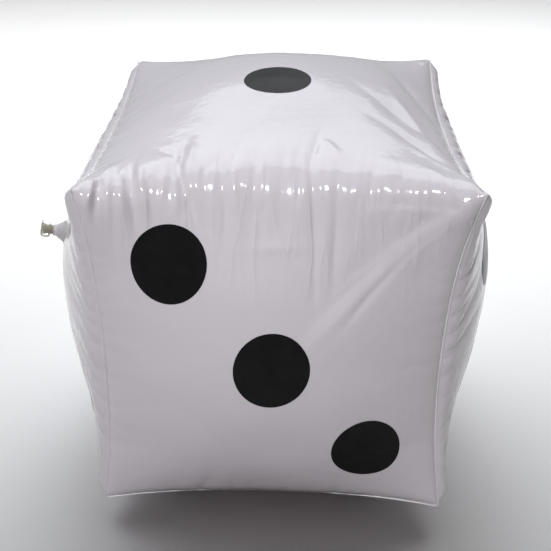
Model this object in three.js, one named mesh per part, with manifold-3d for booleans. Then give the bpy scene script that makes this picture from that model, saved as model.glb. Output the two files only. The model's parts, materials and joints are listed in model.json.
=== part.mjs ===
// An inflatable giant yard die: six square film faces blown up into a soft cube, with
// welded seams, printed pips and an oral inflation valve in one side panel.
// Millimetres, +Z up. The die rests on z = 0, with the origin at the middle of the
// patch that it rests on. The face with three pips looks along -Y, and +X is to its right.

import * as THREE from 'three';
import { mergeVertices } from 'three/addons/utils/BufferGeometryUtils.js';
import Module from 'manifold-3d';

// Driving dimensions of the film.
const PANEL_SIDE = 500;
const HALF = PANEL_SIDE / 2;
const FILM = 0.3;
const CORNER_REACH = 0.975 * HALF;
const EDGE_ARC_POWER = 2.2;
const CROWN_FULLNESS = 0.86;
const SIDEWAYS_SPREAD = 0.056;
const CONTACT_SINK = 5;
const CELLS = 16;
const SEAM_INSET = 0.8 / HALF;

// How far the middle of an edge is pulled in along the outward normal of the first face
// of the pair. The loose fold between front and top is pushed back and up.
const EDGE_PULL = 22;
const EDGE_PULLS = {
  'front>top': 52,
  'top>front': -12,
  'front>left': 16,
  'left>front': 16,
  'front>right': 36,
  'right>front': 20,
  'top>left': 29,
  'left>top': -2,
  'top>right': 29,
  'right>top': 10,
  'top>back': 4,
  'back>top': 13,
  'bottom>front': 12,
  'front>bottom': 12,
};

// How far a face bulges over its edges, and how that changes along the face.
const CROWNS = { front: 97, top: 73, back: 94, bottom: 90, left: 107, right: 106 };
const CROWN_LEANS = { front: -0.08, top: 0.44, back: 0, bottom: -0.08, left: 0, right: 0 };

// How far a corner sits from its place on an even cube.
const CORNER_SHIFTS = [
  { corner: [-1, -1, 1], shift: [-4, 4, -4] },
  { corner: [1, -1, 1], shift: [1, -4, 5] },
  { corner: [-1, -1, -1], shift: [-3, 1, -7] },
  { corner: [1, -1, -1], shift: [-9, -6, -1] },
  { corner: [-1, 1, 1], shift: [4, 1, -4] },
  { corner: [1, 1, 1], shift: [-11, 2, 7] },
];
const SHIFT_LIMIT = 1.1;

// Welded seam fins.
const FIN_WIDTH = 4;
const FIN_THICKNESS = 0.5;
const FIN_GAP = 0.5;
const FIN_CORNER_TURN = 24;
const CROSS_FIN_REACH = 0.985;

// Printed pips, as shares of half a face where they say share.
const PIP_RADIUS = 51.5;
const PIP_LIFT = 0.8;
const PIP_INK = 0.4;
const PIP_SEGMENTS = 20;
const WIDE_SHARE = 0.547;
const CLOSE_SHARE = 0.41;
const RIGHT_PRINT_DROP = 0.05;

// Inflation valve. Heights run outwards from the film along the valve's own axis.
const VALVE_ACROSS = 0.3;
const VALVE_ALONG = 0.44;
const VALVE_HOLE_RADIUS = 17.4;
const VALVE_SEGMENTS = 24;
const BORE_RADIUS = 4.2;
const STEM_RADIUS = 6.2;
const STEM_INNER_END = 6;
const STEM_OUTER_END = 30;
const LIP_RADIUS = 7.4;
const LIP_HEIGHT = 2.5;
const CONE_FOOT_RADIUS = 17;
const CONE_FOOT_BOTTOM = -1.7;
const CONE_FOOT_THICKNESS = 1.1;
const CONE_FOOT_WIDTH = 4.5;
const CONE_WALL = 1;
const CONE_NECK_START = 13;
const CONE_NECK_END = 16;
const FLANGE_INNER_RADIUS = 12;
const FLANGE_OUTER_RADIUS = 21;
const FLANGE_BOTTOM = -2.8;
const FLANGE_TOP = -2;
const PLUG_RADIUS = 3.8;
const PLUG_TIP = 18;
const PLUG_LEAD_IN = 1.5;
const PLUG_LEAD_IN_DEPTH = 0.6;
const CAP_RADIUS = 8.2;
const CAP_THICKNESS = 3;
const CAP_ROUNDING = 1;
const TAB_REACH = 12.5;
const TAB_WIDTH = 6;
const TAB_THICKNESS = 1.5;
const TAB_SEGMENTS = 8;
const MERGE_OVERLAP = 0.8;
const STRAP_RING_START = 20;
const STRAP_RING_END = 22.5;
const STRAP_RING_RADIUS = 8.2;
const STRAP_WIDTH = 3.6;
const STRAP_THICKNESS = 1.1;
const STRAP_BULGE = 3.8;
const STRAP_STEPS = 12;
const FLAP_RADIUS = 5.9;
const FLAP_BOTTOM = 5;
const FLAP_TOP = 5.6;
const FIT_GAP = 0.4;

const wasm = await Module();
wasm.setup();

// Finishes.
function plastic(colour, roughness) {
  return new THREE.MeshStandardMaterial({ color: colour, roughness, metalness: 0 });
}

const whiteFilm = () => plastic(0xe6e4ea, 0.22);
const weldedFilm = () => plastic(0xf0eff2, 0.3);
const blackInk = () => plastic(0x141314, 0.28);
const clearVinyl = () => plastic(0xdedbc4, 0.3);
const valveVinyl = () => plastic(0xd6d2b4, 0.34);

// Geometry helpers.

/** Welds equal points and makes sure that the closed surface faces outwards. */
function closedBody(geometry) {
  const bare = geometry.clone();
  bare.deleteAttribute('normal');
  bare.deleteAttribute('uv');
  const merged = mergeVertices(bare, 1e-4);
  const place = merged.getAttribute('position');
  const index = Array.from(merged.getIndex().array);
  const corner = [new THREE.Vector3(), new THREE.Vector3(), new THREE.Vector3()];
  const kept = [];
  let volume = 0;
  for (let i = 0; i < index.length; i += 3) {
    const [a, b, c] = index.slice(i, i + 3);
    if (a === b || b === c || c === a) continue;
    corner[0].fromBufferAttribute(place, a);
    corner[1].fromBufferAttribute(place, b);
    corner[2].fromBufferAttribute(place, c);
    volume += corner[0].dot(corner[1].cross(corner[2]));
    kept.push(a, b, c);
  }
  if (volume < 0) kept.reverse();
  merged.setIndex(kept);
  merged.computeVertexNormals();
  return merged;
}

/** A geometry as a solid that can be joined or cut. */
function solidFrom(geometry) {
  const closed = closedBody(geometry);
  return new wasm.Manifold(new wasm.Mesh({
    numProp: 3,
    vertProperties: new Float32Array(closed.getAttribute('position').array),
    triVerts: new Uint32Array(closed.getIndex().array),
  }));
}

/** A joined or cut solid as a geometry. */
function geometryFrom(solid) {
  const mesh = solid.getMesh();
  const geometry = new THREE.BufferGeometry();
  geometry.setAttribute('position', new THREE.BufferAttribute(mesh.vertProperties, 3));
  geometry.setIndex(Array.from(mesh.triVerts));
  geometry.computeVertexNormals();
  return geometry;
}

/** A named mesh. */
function piece(name, geometry, material) {
  const mesh = new THREE.Mesh(geometry, material);
  mesh.name = name;
  return mesh;
}

/** Joins an outer and an inner sheet of matching points along their rim. */
function closedSheet(outer, inner, triangles, rim) {
  const count = outer.length;
  const index = [...triangles];
  for (let i = 0; i < triangles.length; i += 3) {
    const [a, b, c] = triangles.slice(i, i + 3);
    index.push(a + count, c + count, b + count);
  }
  rim.forEach((from, k) => {
    const to = rim[(k + 1) % rim.length];
    index.push(to, from, from + count);
    index.push(to, from + count, to + count);
  });
  const geometry = new THREE.BufferGeometry().setFromPoints([...outer, ...inner]);
  geometry.setIndex(index);
  return closedBody(geometry);
}

// The blown-up film. A face has two directions in its plane and an outward normal.

function makeFace(name, across, along) {
  return { name, across, along, outward: across.clone().cross(along) };
}

const X = new THREE.Vector3(1, 0, 0);
const Y = new THREE.Vector3(0, 1, 0);
const Z = new THREE.Vector3(0, 0, 1);
const FRONT = makeFace('front', X, Z);
const TOP = makeFace('top', X, Y);
const BACK = makeFace('back', X, Z.clone().negate());
const BOTTOM = makeFace('bottom', X, Y.clone().negate());
const LEFT = makeFace('left', Y.clone().negate(), Z);
const RIGHT = makeFace('right', Y, Z);
const FACES = [FRONT, TOP, BACK, BOTTOM, LEFT, RIGHT];

/** The face that lies beyond the edge in that direction. */
function faceTowards(direction) {
  return FACES.find((face) => face.outward.dot(direction) > 0.5);
}

/** How far the middle of the edge between two faces is pulled in along the first one's normal. */
function edgePull(face, other) {
  return EDGE_PULLS[`${face.name}>${other.name}`] ?? EDGE_PULL;
}

/** The share of an edge's pull at a share of its length from the middle. */
function edgeArc(share) {
  return 1 - Math.abs(share) ** EDGE_ARC_POWER;
}

/** How a share of the flat film spreads over the bulging face. */
function spread(share) {
  return share * (1 + SIDEWAYS_SPREAD * (1 - share * share));
}

/** Moves a point of the even cube with the corners near it. */
function shiftWithCorners(point) {
  const place = point.clone().divideScalar(CORNER_REACH).clampScalar(-SHIFT_LIMIT, SHIFT_LIMIT);
  for (const { corner: [x, y, z], shift } of CORNER_SHIFTS) {
    const share = ((1 + x * place.x) * (1 + y * place.y) * (1 + z * place.z)) / 8;
    point.addScaledVector(new THREE.Vector3(...shift), share);
  }
  return point;
}

/** The film's outer point round the die's centre: u and v run from -1 to 1 over a face. */
function airPoint(face, u, v) {
  const right = faceTowards(face.across);
  const left = faceTowards(face.across.clone().negate());
  const far = faceTowards(face.along);
  const near = faceTowards(face.along.clone().negate());
  const toRight = (1 + u) / 2;
  const toFar = (1 + v) / 2;
  const mix = (share, a, b) => (1 - share) * a + share * b;
  const swell = Math.max(0, (1 - u * u) * (1 - v * v)) ** CROWN_FULLNESS;
  const crown = CROWNS[face.name] * (1 + CROWN_LEANS[face.name] * v) * swell;
  const across = spread(u) * CORNER_REACH
    - edgeArc(v) * mix(toRight, -edgePull(left, face), edgePull(right, face));
  const along = spread(v) * CORNER_REACH
    - edgeArc(u) * mix(toFar, -edgePull(near, face), edgePull(far, face));
  const outwards = CORNER_REACH + crown
    - edgeArc(v) * mix(toRight, edgePull(face, left), edgePull(face, right))
    - edgeArc(u) * mix(toFar, edgePull(face, near), edgePull(face, far));
  const point = new THREE.Vector3();
  point.addScaledVector(face.across, across);
  point.addScaledVector(face.along, along);
  point.addScaledVector(face.outward, outwards);
  return shiftWithCorners(point);
}

const CENTRE_HEIGHT = -airPoint(BOTTOM, 0, 0).z - CONTACT_SINK;

/** The film's outer point in the part's frame, flattened where the die rests. */
function filmPoint(face, u, v) {
  const point = airPoint(face, u, v);
  point.z = Math.max(point.z + CENTRE_HEIGHT, 0);
  return point;
}

/** The film's outward normal at u and v. */
function filmNormal(face, u, v) {
  const step = 1e-3;
  const across = filmPoint(face, u + step, v).sub(filmPoint(face, u - step, v));
  const along = filmPoint(face, u, v + step).sub(filmPoint(face, u, v - step));
  return across.cross(along).normalize();
}

/** Shares from -1 to 1, with the ends pulled in where the film ends at a seam. */
function shares(startInset, endInset) {
  return Array.from({ length: CELLS + 1 }, (_, i) => {
    const share = -1 + (2 * i) / CELLS;
    return Math.min(Math.max(share, -1 + startInset), 1 - endInset);
  });
}

/** A strip of one or two faces in a row, as one closed film shell. */
function filmPanel(faces) {
  const columns = shares(SEAM_INSET, SEAM_INSET);
  const rows = faces.flatMap((face, k) => {
    const startInset = k === 0 ? SEAM_INSET : 0;
    const endInset = k === faces.length - 1 ? SEAM_INSET : 0;
    const alongs = shares(startInset, endInset).slice(k === 0 ? 0 : 1);
    return alongs.map((v) => columns.map((u) => filmPoint(face, u, v)));
  });
  const width = columns.length;
  const triangles = [];
  for (let row = 0; row + 1 < rows.length; row += 1) {
    for (let column = 0; column + 1 < width; column += 1) {
      const a = row * width + column;
      triangles.push(a, a + 1, a + 1 + width, a, a + 1 + width, a + width);
    }
  }
  const outer = rows.flat();
  const sheet = new THREE.BufferGeometry().setFromPoints(outer);
  sheet.setIndex(triangles);
  sheet.computeVertexNormals();
  const normals = sheet.getAttribute('normal');
  const inner = outer.map((point, i) => {
    const normal = new THREE.Vector3().fromBufferAttribute(normals, i);
    return point.clone().addScaledVector(normal, -FILM);
  });
  const lastRow = (rows.length - 1) * width;
  const rim = [];
  for (let i = 0; i < width - 1; i += 1) rim.push(i);
  for (let row = 0; row < rows.length - 1; row += 1) rim.push(row * width + width - 1);
  for (let i = width - 1; i > 0; i -= 1) rim.push(lastRow + i);
  for (let row = rows.length - 1; row > 0; row -= 1) rim.push(row * width);
  return closedSheet(outer, inner, triangles, rim);
}

// Seam fins.

/** A thin fin along stations of {root, outwards, sideways}, as a loop or open. */
function finStrip(stations, isLoop) {
  const points = stations.flatMap(({ root, outwards, sideways }) => {
    const at = (reach, side) => root.clone()
      .addScaledVector(outwards, reach)
      .addScaledVector(sideways, (side * FIN_THICKNESS) / 2);
    const far = FIN_GAP + FIN_WIDTH;
    return [at(FIN_GAP, -1), at(FIN_GAP, 1), at(far, 1), at(far, -1)];
  });
  const index = [];
  const steps = isLoop ? stations.length : stations.length - 1;
  for (let step = 0; step < steps; step += 1) {
    const here = step * 4;
    const next = ((step + 1) % stations.length) * 4;
    for (let side = 0; side < 4; side += 1) {
      const beside = (side + 1) % 4;
      index.push(here + side, here + beside, next + beside);
      index.push(here + side, next + beside, next + side);
    }
  }
  if (!isLoop) {
    const end = (stations.length - 1) * 4;
    index.push(0, 2, 1, 0, 3, 2);
    index.push(end, end + 1, end + 2, end, end + 2, end + 3);
  }
  const geometry = new THREE.BufferGeometry().setFromPoints(points);
  geometry.setIndex(index);
  return closedBody(geometry);
}

/** One station of the fin round a side panel. */
function loopStation(face, u, v) {
  const outwards = face.outward.clone();
  outwards.addScaledVector(face.across, Math.sign(u) * Math.abs(u) ** FIN_CORNER_TURN);
  outwards.addScaledVector(face.along, Math.sign(v) * Math.abs(v) ** FIN_CORNER_TURN);
  outwards.normalize();
  const sideways = face.outward.clone().negate();
  sideways.addScaledVector(outwards, -sideways.dot(outwards)).normalize();
  return { root: filmPoint(face, u, v), outwards, sideways };
}

/** The fin round all four edges of a side panel. */
function sidePanelFin(face) {
  const corners = [[-1, -1], [1, -1], [1, 1], [-1, 1]];
  const stations = corners.flatMap(([u, v], k) => {
    const [nextU, nextV] = corners[(k + 1) % corners.length];
    return Array.from({ length: CELLS }, (_, i) => {
      const share = i / CELLS;
      return loopStation(face, u + (nextU - u) * share, v + (nextV - v) * share);
    });
  });
  return finStrip(stations, true);
}

/** The fin along the far edge of a face, where the two wraps meet. */
function wrapFin(face) {
  const outwards = face.outward.clone().add(face.along).normalize();
  const sideways = face.outward.clone().sub(face.along).normalize();
  const stations = shares(0, 0).map((share) => (
    { root: filmPoint(face, share * CROSS_FIN_REACH, 1), outwards, sideways }
  ));
  return finStrip(stations, false);
}

// Pips.

/** One printed pip, a thin disc that follows the film. */
function pipGeometry(face, centreU, centreV) {
  const places = [[0, 0]];
  for (const ring of [0.5, 1]) {
    for (let i = 0; i < PIP_SEGMENTS; i += 1) {
      const angle = (2 * Math.PI * i) / PIP_SEGMENTS;
      places.push([ring * Math.cos(angle), ring * Math.sin(angle)]);
    }
  }
  const raised = (lift) => places.map(([x, y]) => {
    const u = centreU + (x * PIP_RADIUS) / HALF;
    const v = centreV + (y * PIP_RADIUS) / HALF;
    return filmPoint(face, u, v).addScaledVector(filmNormal(face, u, v), lift);
  });
  const triangles = [];
  const rim = [];
  for (let i = 0; i < PIP_SEGMENTS; i += 1) {
    const next = (i + 1) % PIP_SEGMENTS;
    const inner = 1 + i;
    const innerNext = 1 + next;
    const outer = inner + PIP_SEGMENTS;
    const outerNext = innerNext + PIP_SEGMENTS;
    triangles.push(0, inner, innerNext);
    triangles.push(inner, outer, outerNext, inner, outerNext, innerNext);
    rim.push(outer);
  }
  return closedSheet(raised(PIP_LIFT + PIP_INK), raised(PIP_LIFT), triangles, rim);
}

const W = WIDE_SHARE;
const N = CLOSE_SHARE;
const PIPS = [
  { name: 'front_three', face: FRONT, places: [[-W, W], [0, 0], [W, -W]] },
  { name: 'top_one', face: TOP, places: [[0, 0]] },
  { name: 'back_four', face: BACK, places: [[-N, -N], [N, -N], [-N, N], [N, N]] },
  { name: 'bottom_six', face: BOTTOM,
    places: [[-W, -W], [W, -W], [-W, 0], [W, 0], [-W, W], [W, W]] },
  { name: 'left_two', face: LEFT, places: [[-W, W], [W, -W]] },
  { name: 'right_five', face: RIGHT,
    places: [[-N, -N], [N, -N], [0, 0], [-N, N], [N, N]].map(([u, v]) => [u, v - RIGHT_PRINT_DROP]) },
];

// The valve, built round its own axis: local +Y points out of the die.

/** A body turned round the valve's axis from a closed outline of [radius, height]. */
function turned(outline) {
  const points = [...outline, outline[0]].map(([radius, height]) => (
    new THREE.Vector2(radius, height)
  ));
  return closedBody(new THREE.LatheGeometry(points, VALVE_SEGMENTS));
}

/** The same, for a body that is solid on its axis. */
function turnedOnAxis(outline) {
  const points = outline.map(([radius, height]) => new THREE.Vector2(radius, height));
  return closedBody(new THREE.LatheGeometry(points, VALVE_SEGMENTS));
}

function flangeGeometry() {
  return turned([
    [FLANGE_INNER_RADIUS, FLANGE_BOTTOM],
    [FLANGE_OUTER_RADIUS, FLANGE_BOTTOM],
    [FLANGE_OUTER_RADIUS, FLANGE_TOP],
    [FLANGE_INNER_RADIUS, FLANGE_TOP],
  ]);
}

/** The soft cone between the film and the stem, which turns inside out when pushed in. */
function coneGeometry() {
  const footTop = CONE_FOOT_BOTTOM + CONE_FOOT_THICKNESS;
  const neckInner = STEM_RADIUS + FIT_GAP;
  const neckOuter = neckInner + CONE_WALL;
  return turned([
    [CONE_FOOT_RADIUS - CONE_FOOT_WIDTH, CONE_FOOT_BOTTOM],
    [CONE_FOOT_RADIUS, CONE_FOOT_BOTTOM],
    [CONE_FOOT_RADIUS, footTop],
    [CONE_FOOT_RADIUS - 1.5 * CONE_WALL, footTop + CONE_WALL],
    [neckOuter, CONE_NECK_START],
    [neckOuter, CONE_NECK_END],
    [neckInner, CONE_NECK_END],
    [neckInner, CONE_NECK_START - FIT_GAP],
    [CONE_FOOT_RADIUS - 2.8 * CONE_WALL, footTop],
  ]);
}

function stemGeometry() {
  const lipStart = STEM_OUTER_END - LIP_HEIGHT;
  return turned([
    [BORE_RADIUS, STEM_INNER_END],
    [STEM_RADIUS, STEM_INNER_END],
    [STEM_RADIUS, lipStart - (LIP_RADIUS - STEM_RADIUS)],
    [LIP_RADIUS, lipStart],
    [LIP_RADIUS, STEM_OUTER_END],
    [BORE_RADIUS, STEM_OUTER_END],
  ]);
}

/** The stopper: a round cap with a pull tab on one side and a shank that fills the bore. */
function plugGeometry() {
  const capBottom = STEM_OUTER_END + FIT_GAP;
  const capTop = capBottom + CAP_THICKNESS;
  const turnedPart = turnedOnAxis([
    [0, PLUG_TIP],
    [PLUG_RADIUS - PLUG_LEAD_IN_DEPTH, PLUG_TIP],
    [PLUG_RADIUS, PLUG_TIP + PLUG_LEAD_IN],
    [PLUG_RADIUS, capBottom],
    [CAP_RADIUS - CAP_ROUNDING / 2, capBottom],
    [CAP_RADIUS, capBottom + CAP_ROUNDING / 2],
    [CAP_RADIUS, capTop - CAP_ROUNDING],
    [CAP_RADIUS - CAP_ROUNDING, capTop],
    [0, capTop],
  ]);
  const outline = new THREE.Shape();
  const halfWidth = TAB_WIDTH / 2;
  const tabRoot = CAP_RADIUS / 2;
  const tabEnd = TAB_REACH - halfWidth;
  outline.moveTo(tabRoot, -halfWidth);
  outline.lineTo(tabEnd, -halfWidth);
  outline.absarc(tabEnd, 0, halfWidth, -Math.PI / 2, Math.PI / 2, false);
  outline.lineTo(tabRoot, halfWidth);
  const tab = new THREE.ExtrudeGeometry(outline, {
    depth: TAB_THICKNESS,
    bevelEnabled: false,
    curveSegments: TAB_SEGMENTS,
  });
  tab.rotateX(-Math.PI / 2);
  tab.translate(0, (capBottom + capTop - TAB_THICKNESS) / 2, 0);
  return geometryFrom(solidFrom(turnedPart).add(solidFrom(tab)));
}

/** The strap that keeps the stopper: a ring round the stem and an arm to the cap. */
function strapGeometry() {
  const ring = turned([
    [STEM_RADIUS + FIT_GAP, STRAP_RING_START],
    [STRAP_RING_RADIUS, STRAP_RING_START],
    [STRAP_RING_RADIUS, STRAP_RING_END],
    [STEM_RADIUS + FIT_GAP, STRAP_RING_END],
  ]);
  const ringMiddle = (STRAP_RING_START + STRAP_RING_END) / 2;
  const capMiddle = STEM_OUTER_END + FIT_GAP + CAP_THICKNESS / 2;
  const turn = STRAP_BULGE * 0.63;
  const path = new THREE.CatmullRomCurve3([
    new THREE.Vector3(-STRAP_RING_RADIUS + MERGE_OVERLAP, ringMiddle, 0),
    new THREE.Vector3(-STRAP_RING_RADIUS - turn, ringMiddle + FIT_GAP, 0),
    new THREE.Vector3(-STRAP_RING_RADIUS - STRAP_BULGE, (ringMiddle + capMiddle) / 2, 0),
    new THREE.Vector3(-CAP_RADIUS - turn, capMiddle - FIT_GAP, 0),
    new THREE.Vector3(-CAP_RADIUS - FIT_GAP, capMiddle, 0),
  ]);
  const section = new THREE.Shape();
  section.moveTo(-STRAP_WIDTH / 2, -STRAP_THICKNESS / 2);
  section.lineTo(STRAP_WIDTH / 2, -STRAP_THICKNESS / 2);
  section.lineTo(STRAP_WIDTH / 2, STRAP_THICKNESS / 2);
  section.lineTo(-STRAP_WIDTH / 2, STRAP_THICKNESS / 2);
  const arm = new THREE.ExtrudeGeometry(section, { steps: STRAP_STEPS, extrudePath: path });
  return geometryFrom(solidFrom(ring).add(solidFrom(arm)));
}

/** The thin flap that air pressure holds shut over the stem's inner end. */
function flapGeometry() {
  return turnedOnAxis([
    [0, FLAP_BOTTOM],
    [FLAP_RADIUS, FLAP_BOTTOM],
    [FLAP_RADIUS, FLAP_TOP],
    [0, FLAP_TOP],
  ]);
}

/** The valve's place: its axis follows the film's normal, and its local +X leans up. */
function placeAtValve(object) {
  const axis = filmNormal(LEFT, VALVE_ACROSS, VALVE_ALONG);
  const front = axis.clone().cross(Z).normalize();
  const upwards = front.clone().cross(axis).normalize();
  const frame = new THREE.Matrix4().makeBasis(upwards, axis, upwards.clone().cross(axis));
  object.quaternion.setFromRotationMatrix(frame);
  object.position.copy(filmPoint(LEFT, VALVE_ACROSS, VALVE_ALONG));
  return object;
}

/** The left panel, with the hole that the valve stands in. */
function leftPanelGeometry() {
  const drill = new THREE.CylinderGeometry(
    VALVE_HOLE_RADIUS, VALVE_HOLE_RADIUS, 40, VALVE_SEGMENTS,
  );
  const place = placeAtValve(new THREE.Object3D());
  place.updateMatrix();
  drill.applyMatrix4(place.matrix);
  return geometryFrom(solidFrom(filmPanel([LEFT])).subtract(solidFrom(drill)));
}

// Assembly.

function envelope() {
  const group = new THREE.Group();
  group.add(
    piece('wrap_front_top', filmPanel([FRONT, TOP]), whiteFilm()),
    piece('wrap_back_bottom', filmPanel([BACK, BOTTOM]), whiteFilm()),
    piece('side_panel_left', leftPanelGeometry(), whiteFilm()),
    piece('side_panel_right', filmPanel([RIGHT]), whiteFilm()),
  );
  return group;
}

function seams() {
  const group = new THREE.Group();
  group.add(
    piece('weld_left_loop', sidePanelFin(LEFT), weldedFilm()),
    piece('weld_right_loop', sidePanelFin(RIGHT), weldedFilm()),
    piece('weld_top_back', wrapFin(TOP), weldedFilm()),
    piece('weld_bottom_front', wrapFin(BOTTOM), weldedFilm()),
  );
  return group;
}

function pips() {
  const group = new THREE.Group();
  for (const { name, face, places } of PIPS) {
    places.forEach(([u, v], i) => {
      group.add(piece(`pip_${name}_${i + 1}`, pipGeometry(face, u, v), blackInk()));
    });
  }
  return group;
}

function valve() {
  const group = placeAtValve(new THREE.Group());
  group.add(
    piece('valve_flange', flangeGeometry(), clearVinyl()),
    piece('valve_cone', coneGeometry(), clearVinyl()),
    piece('valve_stem', stemGeometry(), valveVinyl()),
    piece('valve_strap', strapGeometry(), valveVinyl()),
    piece('stopper_plug', plugGeometry(), valveVinyl()),
    piece('check_flap', flapGeometry(), valveVinyl()),
  );
  return group;
}

const die = new THREE.Group();
die.add(envelope(), seams(), pips(), valve());

export default die;
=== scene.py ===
"""A giant inflatable yard die: glossy white film blown up into a soft cube.

Metres, +Z up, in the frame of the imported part. Film squares are laid out flat, blown up
by a formula, creased, and given the film's thickness. Welds, print and valve follow it.
"""

import json
import logging
import math
from collections.abc import Callable, Iterator
from contextlib import contextmanager
from dataclasses import dataclass, field
from enum import Enum

import bpy
import numpy as np
from mathutils import Matrix

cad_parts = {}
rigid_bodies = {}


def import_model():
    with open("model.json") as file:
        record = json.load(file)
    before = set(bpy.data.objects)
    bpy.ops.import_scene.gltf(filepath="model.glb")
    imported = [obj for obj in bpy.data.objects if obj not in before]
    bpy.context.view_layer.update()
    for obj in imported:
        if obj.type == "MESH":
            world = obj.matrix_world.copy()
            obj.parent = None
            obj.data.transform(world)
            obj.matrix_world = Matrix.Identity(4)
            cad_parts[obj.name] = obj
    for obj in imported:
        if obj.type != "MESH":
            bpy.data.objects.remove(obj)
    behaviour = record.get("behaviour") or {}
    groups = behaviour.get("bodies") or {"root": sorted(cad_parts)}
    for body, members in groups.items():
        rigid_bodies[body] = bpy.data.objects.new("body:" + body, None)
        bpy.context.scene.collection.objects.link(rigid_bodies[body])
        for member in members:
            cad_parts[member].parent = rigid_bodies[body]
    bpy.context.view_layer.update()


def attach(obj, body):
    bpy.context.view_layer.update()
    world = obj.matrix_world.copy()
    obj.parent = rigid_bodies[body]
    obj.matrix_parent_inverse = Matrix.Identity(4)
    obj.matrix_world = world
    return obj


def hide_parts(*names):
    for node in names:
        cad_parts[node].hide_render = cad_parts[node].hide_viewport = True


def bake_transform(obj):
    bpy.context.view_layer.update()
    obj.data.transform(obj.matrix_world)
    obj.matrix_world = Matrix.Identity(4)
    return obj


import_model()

LOG = logging.getLogger("yard_die")
MM = 0.001


# Shading helpers.


class Value:
    """A shader output that takes part in Python arithmetic."""

    def __init__(self, graph: "Graph", socket: bpy.types.NodeSocket) -> None:
        """Wraps one output socket of a graph."""
        self.graph = graph
        self.socket = socket

    def _math(self, operation: str, first: object, second: object) -> "Value":
        """One Math node on two numbers or values."""
        return self.graph.node("ShaderNodeMath", {"operation": operation}, {0: first, 1: second})

    def __add__(self, other: object) -> "Value":
        """Self plus other."""
        return self._math("ADD", self, other)

    def __radd__(self, other: object) -> "Value":
        """Other plus self."""
        return self._math("ADD", other, self)

    def __sub__(self, other: object) -> "Value":
        """Self minus other."""
        return self._math("SUBTRACT", self, other)

    def __rsub__(self, other: object) -> "Value":
        """Other minus self."""
        return self._math("SUBTRACT", other, self)

    def __mul__(self, other: object) -> "Value":
        """Self times other."""
        return self._math("MULTIPLY", self, other)

    def __rmul__(self, other: object) -> "Value":
        """Other times self."""
        return self._math("MULTIPLY", other, self)

    def __pow__(self, other: object) -> "Value":
        """Self to the power of other."""
        return self._math("POWER", self, other)


class Graph:
    """The node tree of one procedural material."""

    def __init__(self, name: str, constants: dict[str, object]) -> None:
        """Makes a material whose shader has these constants.

        Args:
            name: The material's name.
            constants: Values of the shader's own sockets that don't change over the surface.
        """
        self.material = bpy.data.materials.new(name)
        self.material.use_nodes = True
        self.tree = self.material.node_tree
        self.shader = self.tree.nodes["Principled BSDF"]
        for socket, value in constants.items():
            self.shader.inputs[socket].default_value = value

    def node(
        self,
        kind: str,
        settings: dict[str, object] | None = None,
        inputs: dict[int | str, object] | None = None,
        output: int | str = 0,
    ) -> Value:
        """Adds a node.

        Args:
            kind: The node's type.
            settings: Properties of the node, which are set first.
            inputs: Values or links of its sockets.
            output: Which output is wanted.

        Returns:
            That output.
        """
        node = self.tree.nodes.new(kind)
        for name, value in (settings or {}).items():
            setattr(node, name, value)
        for key, value in (inputs or {}).items():
            if isinstance(value, Value):
                self.tree.links.new(value.socket, node.inputs[key])
            else:
                node.inputs[key].default_value = value
        return Value(self, node.outputs[output])

    def place(self) -> Value:
        """The place on the piece, in its own coordinates."""
        return self.node("ShaderNodeTexCoord", output="Object")

    def noise(self, scale: float, detail: float = 2.0, stretch: tuple = (1, 1, 1)) -> Value:
        """Cloudy noise between 0 and 1.

        Args:
            scale: How many clouds there are in a metre.
            detail: How many finer layers it has.
            stretch: How much denser it is along each axis.

        Returns:
            The noise value.
        """
        where = self.node("ShaderNodeMapping", {}, {"Vector": self.place(), "Scale": stretch})
        inputs = {"Vector": where, "Scale": scale, "Detail": detail}
        return self.node("ShaderNodeTexNoise", {"normalize": True}, inputs, "Fac")

    def mix(self, factor: object, first: tuple, second: tuple) -> Value:
        """A colour between two others."""
        settings = {"data_type": "RGBA", "clamp_factor": True}
        return self.node("ShaderNodeMix", settings, {0: factor, 6: first, 7: second}, 2)

    def feed(self, socket: str, value: Value) -> None:
        """Links a varying value to one of the shader's sockets."""
        self.tree.links.new(value.socket, self.shader.inputs[socket])

    def bump(self, height: Value, distance: float, strength: float = 1.0) -> None:
        """Roughens the surface by a height."""
        inputs = {"Height": height, "Distance": distance, "Strength": strength}
        self.feed("Normal", self.node("ShaderNodeBump", {}, inputs))


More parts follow.
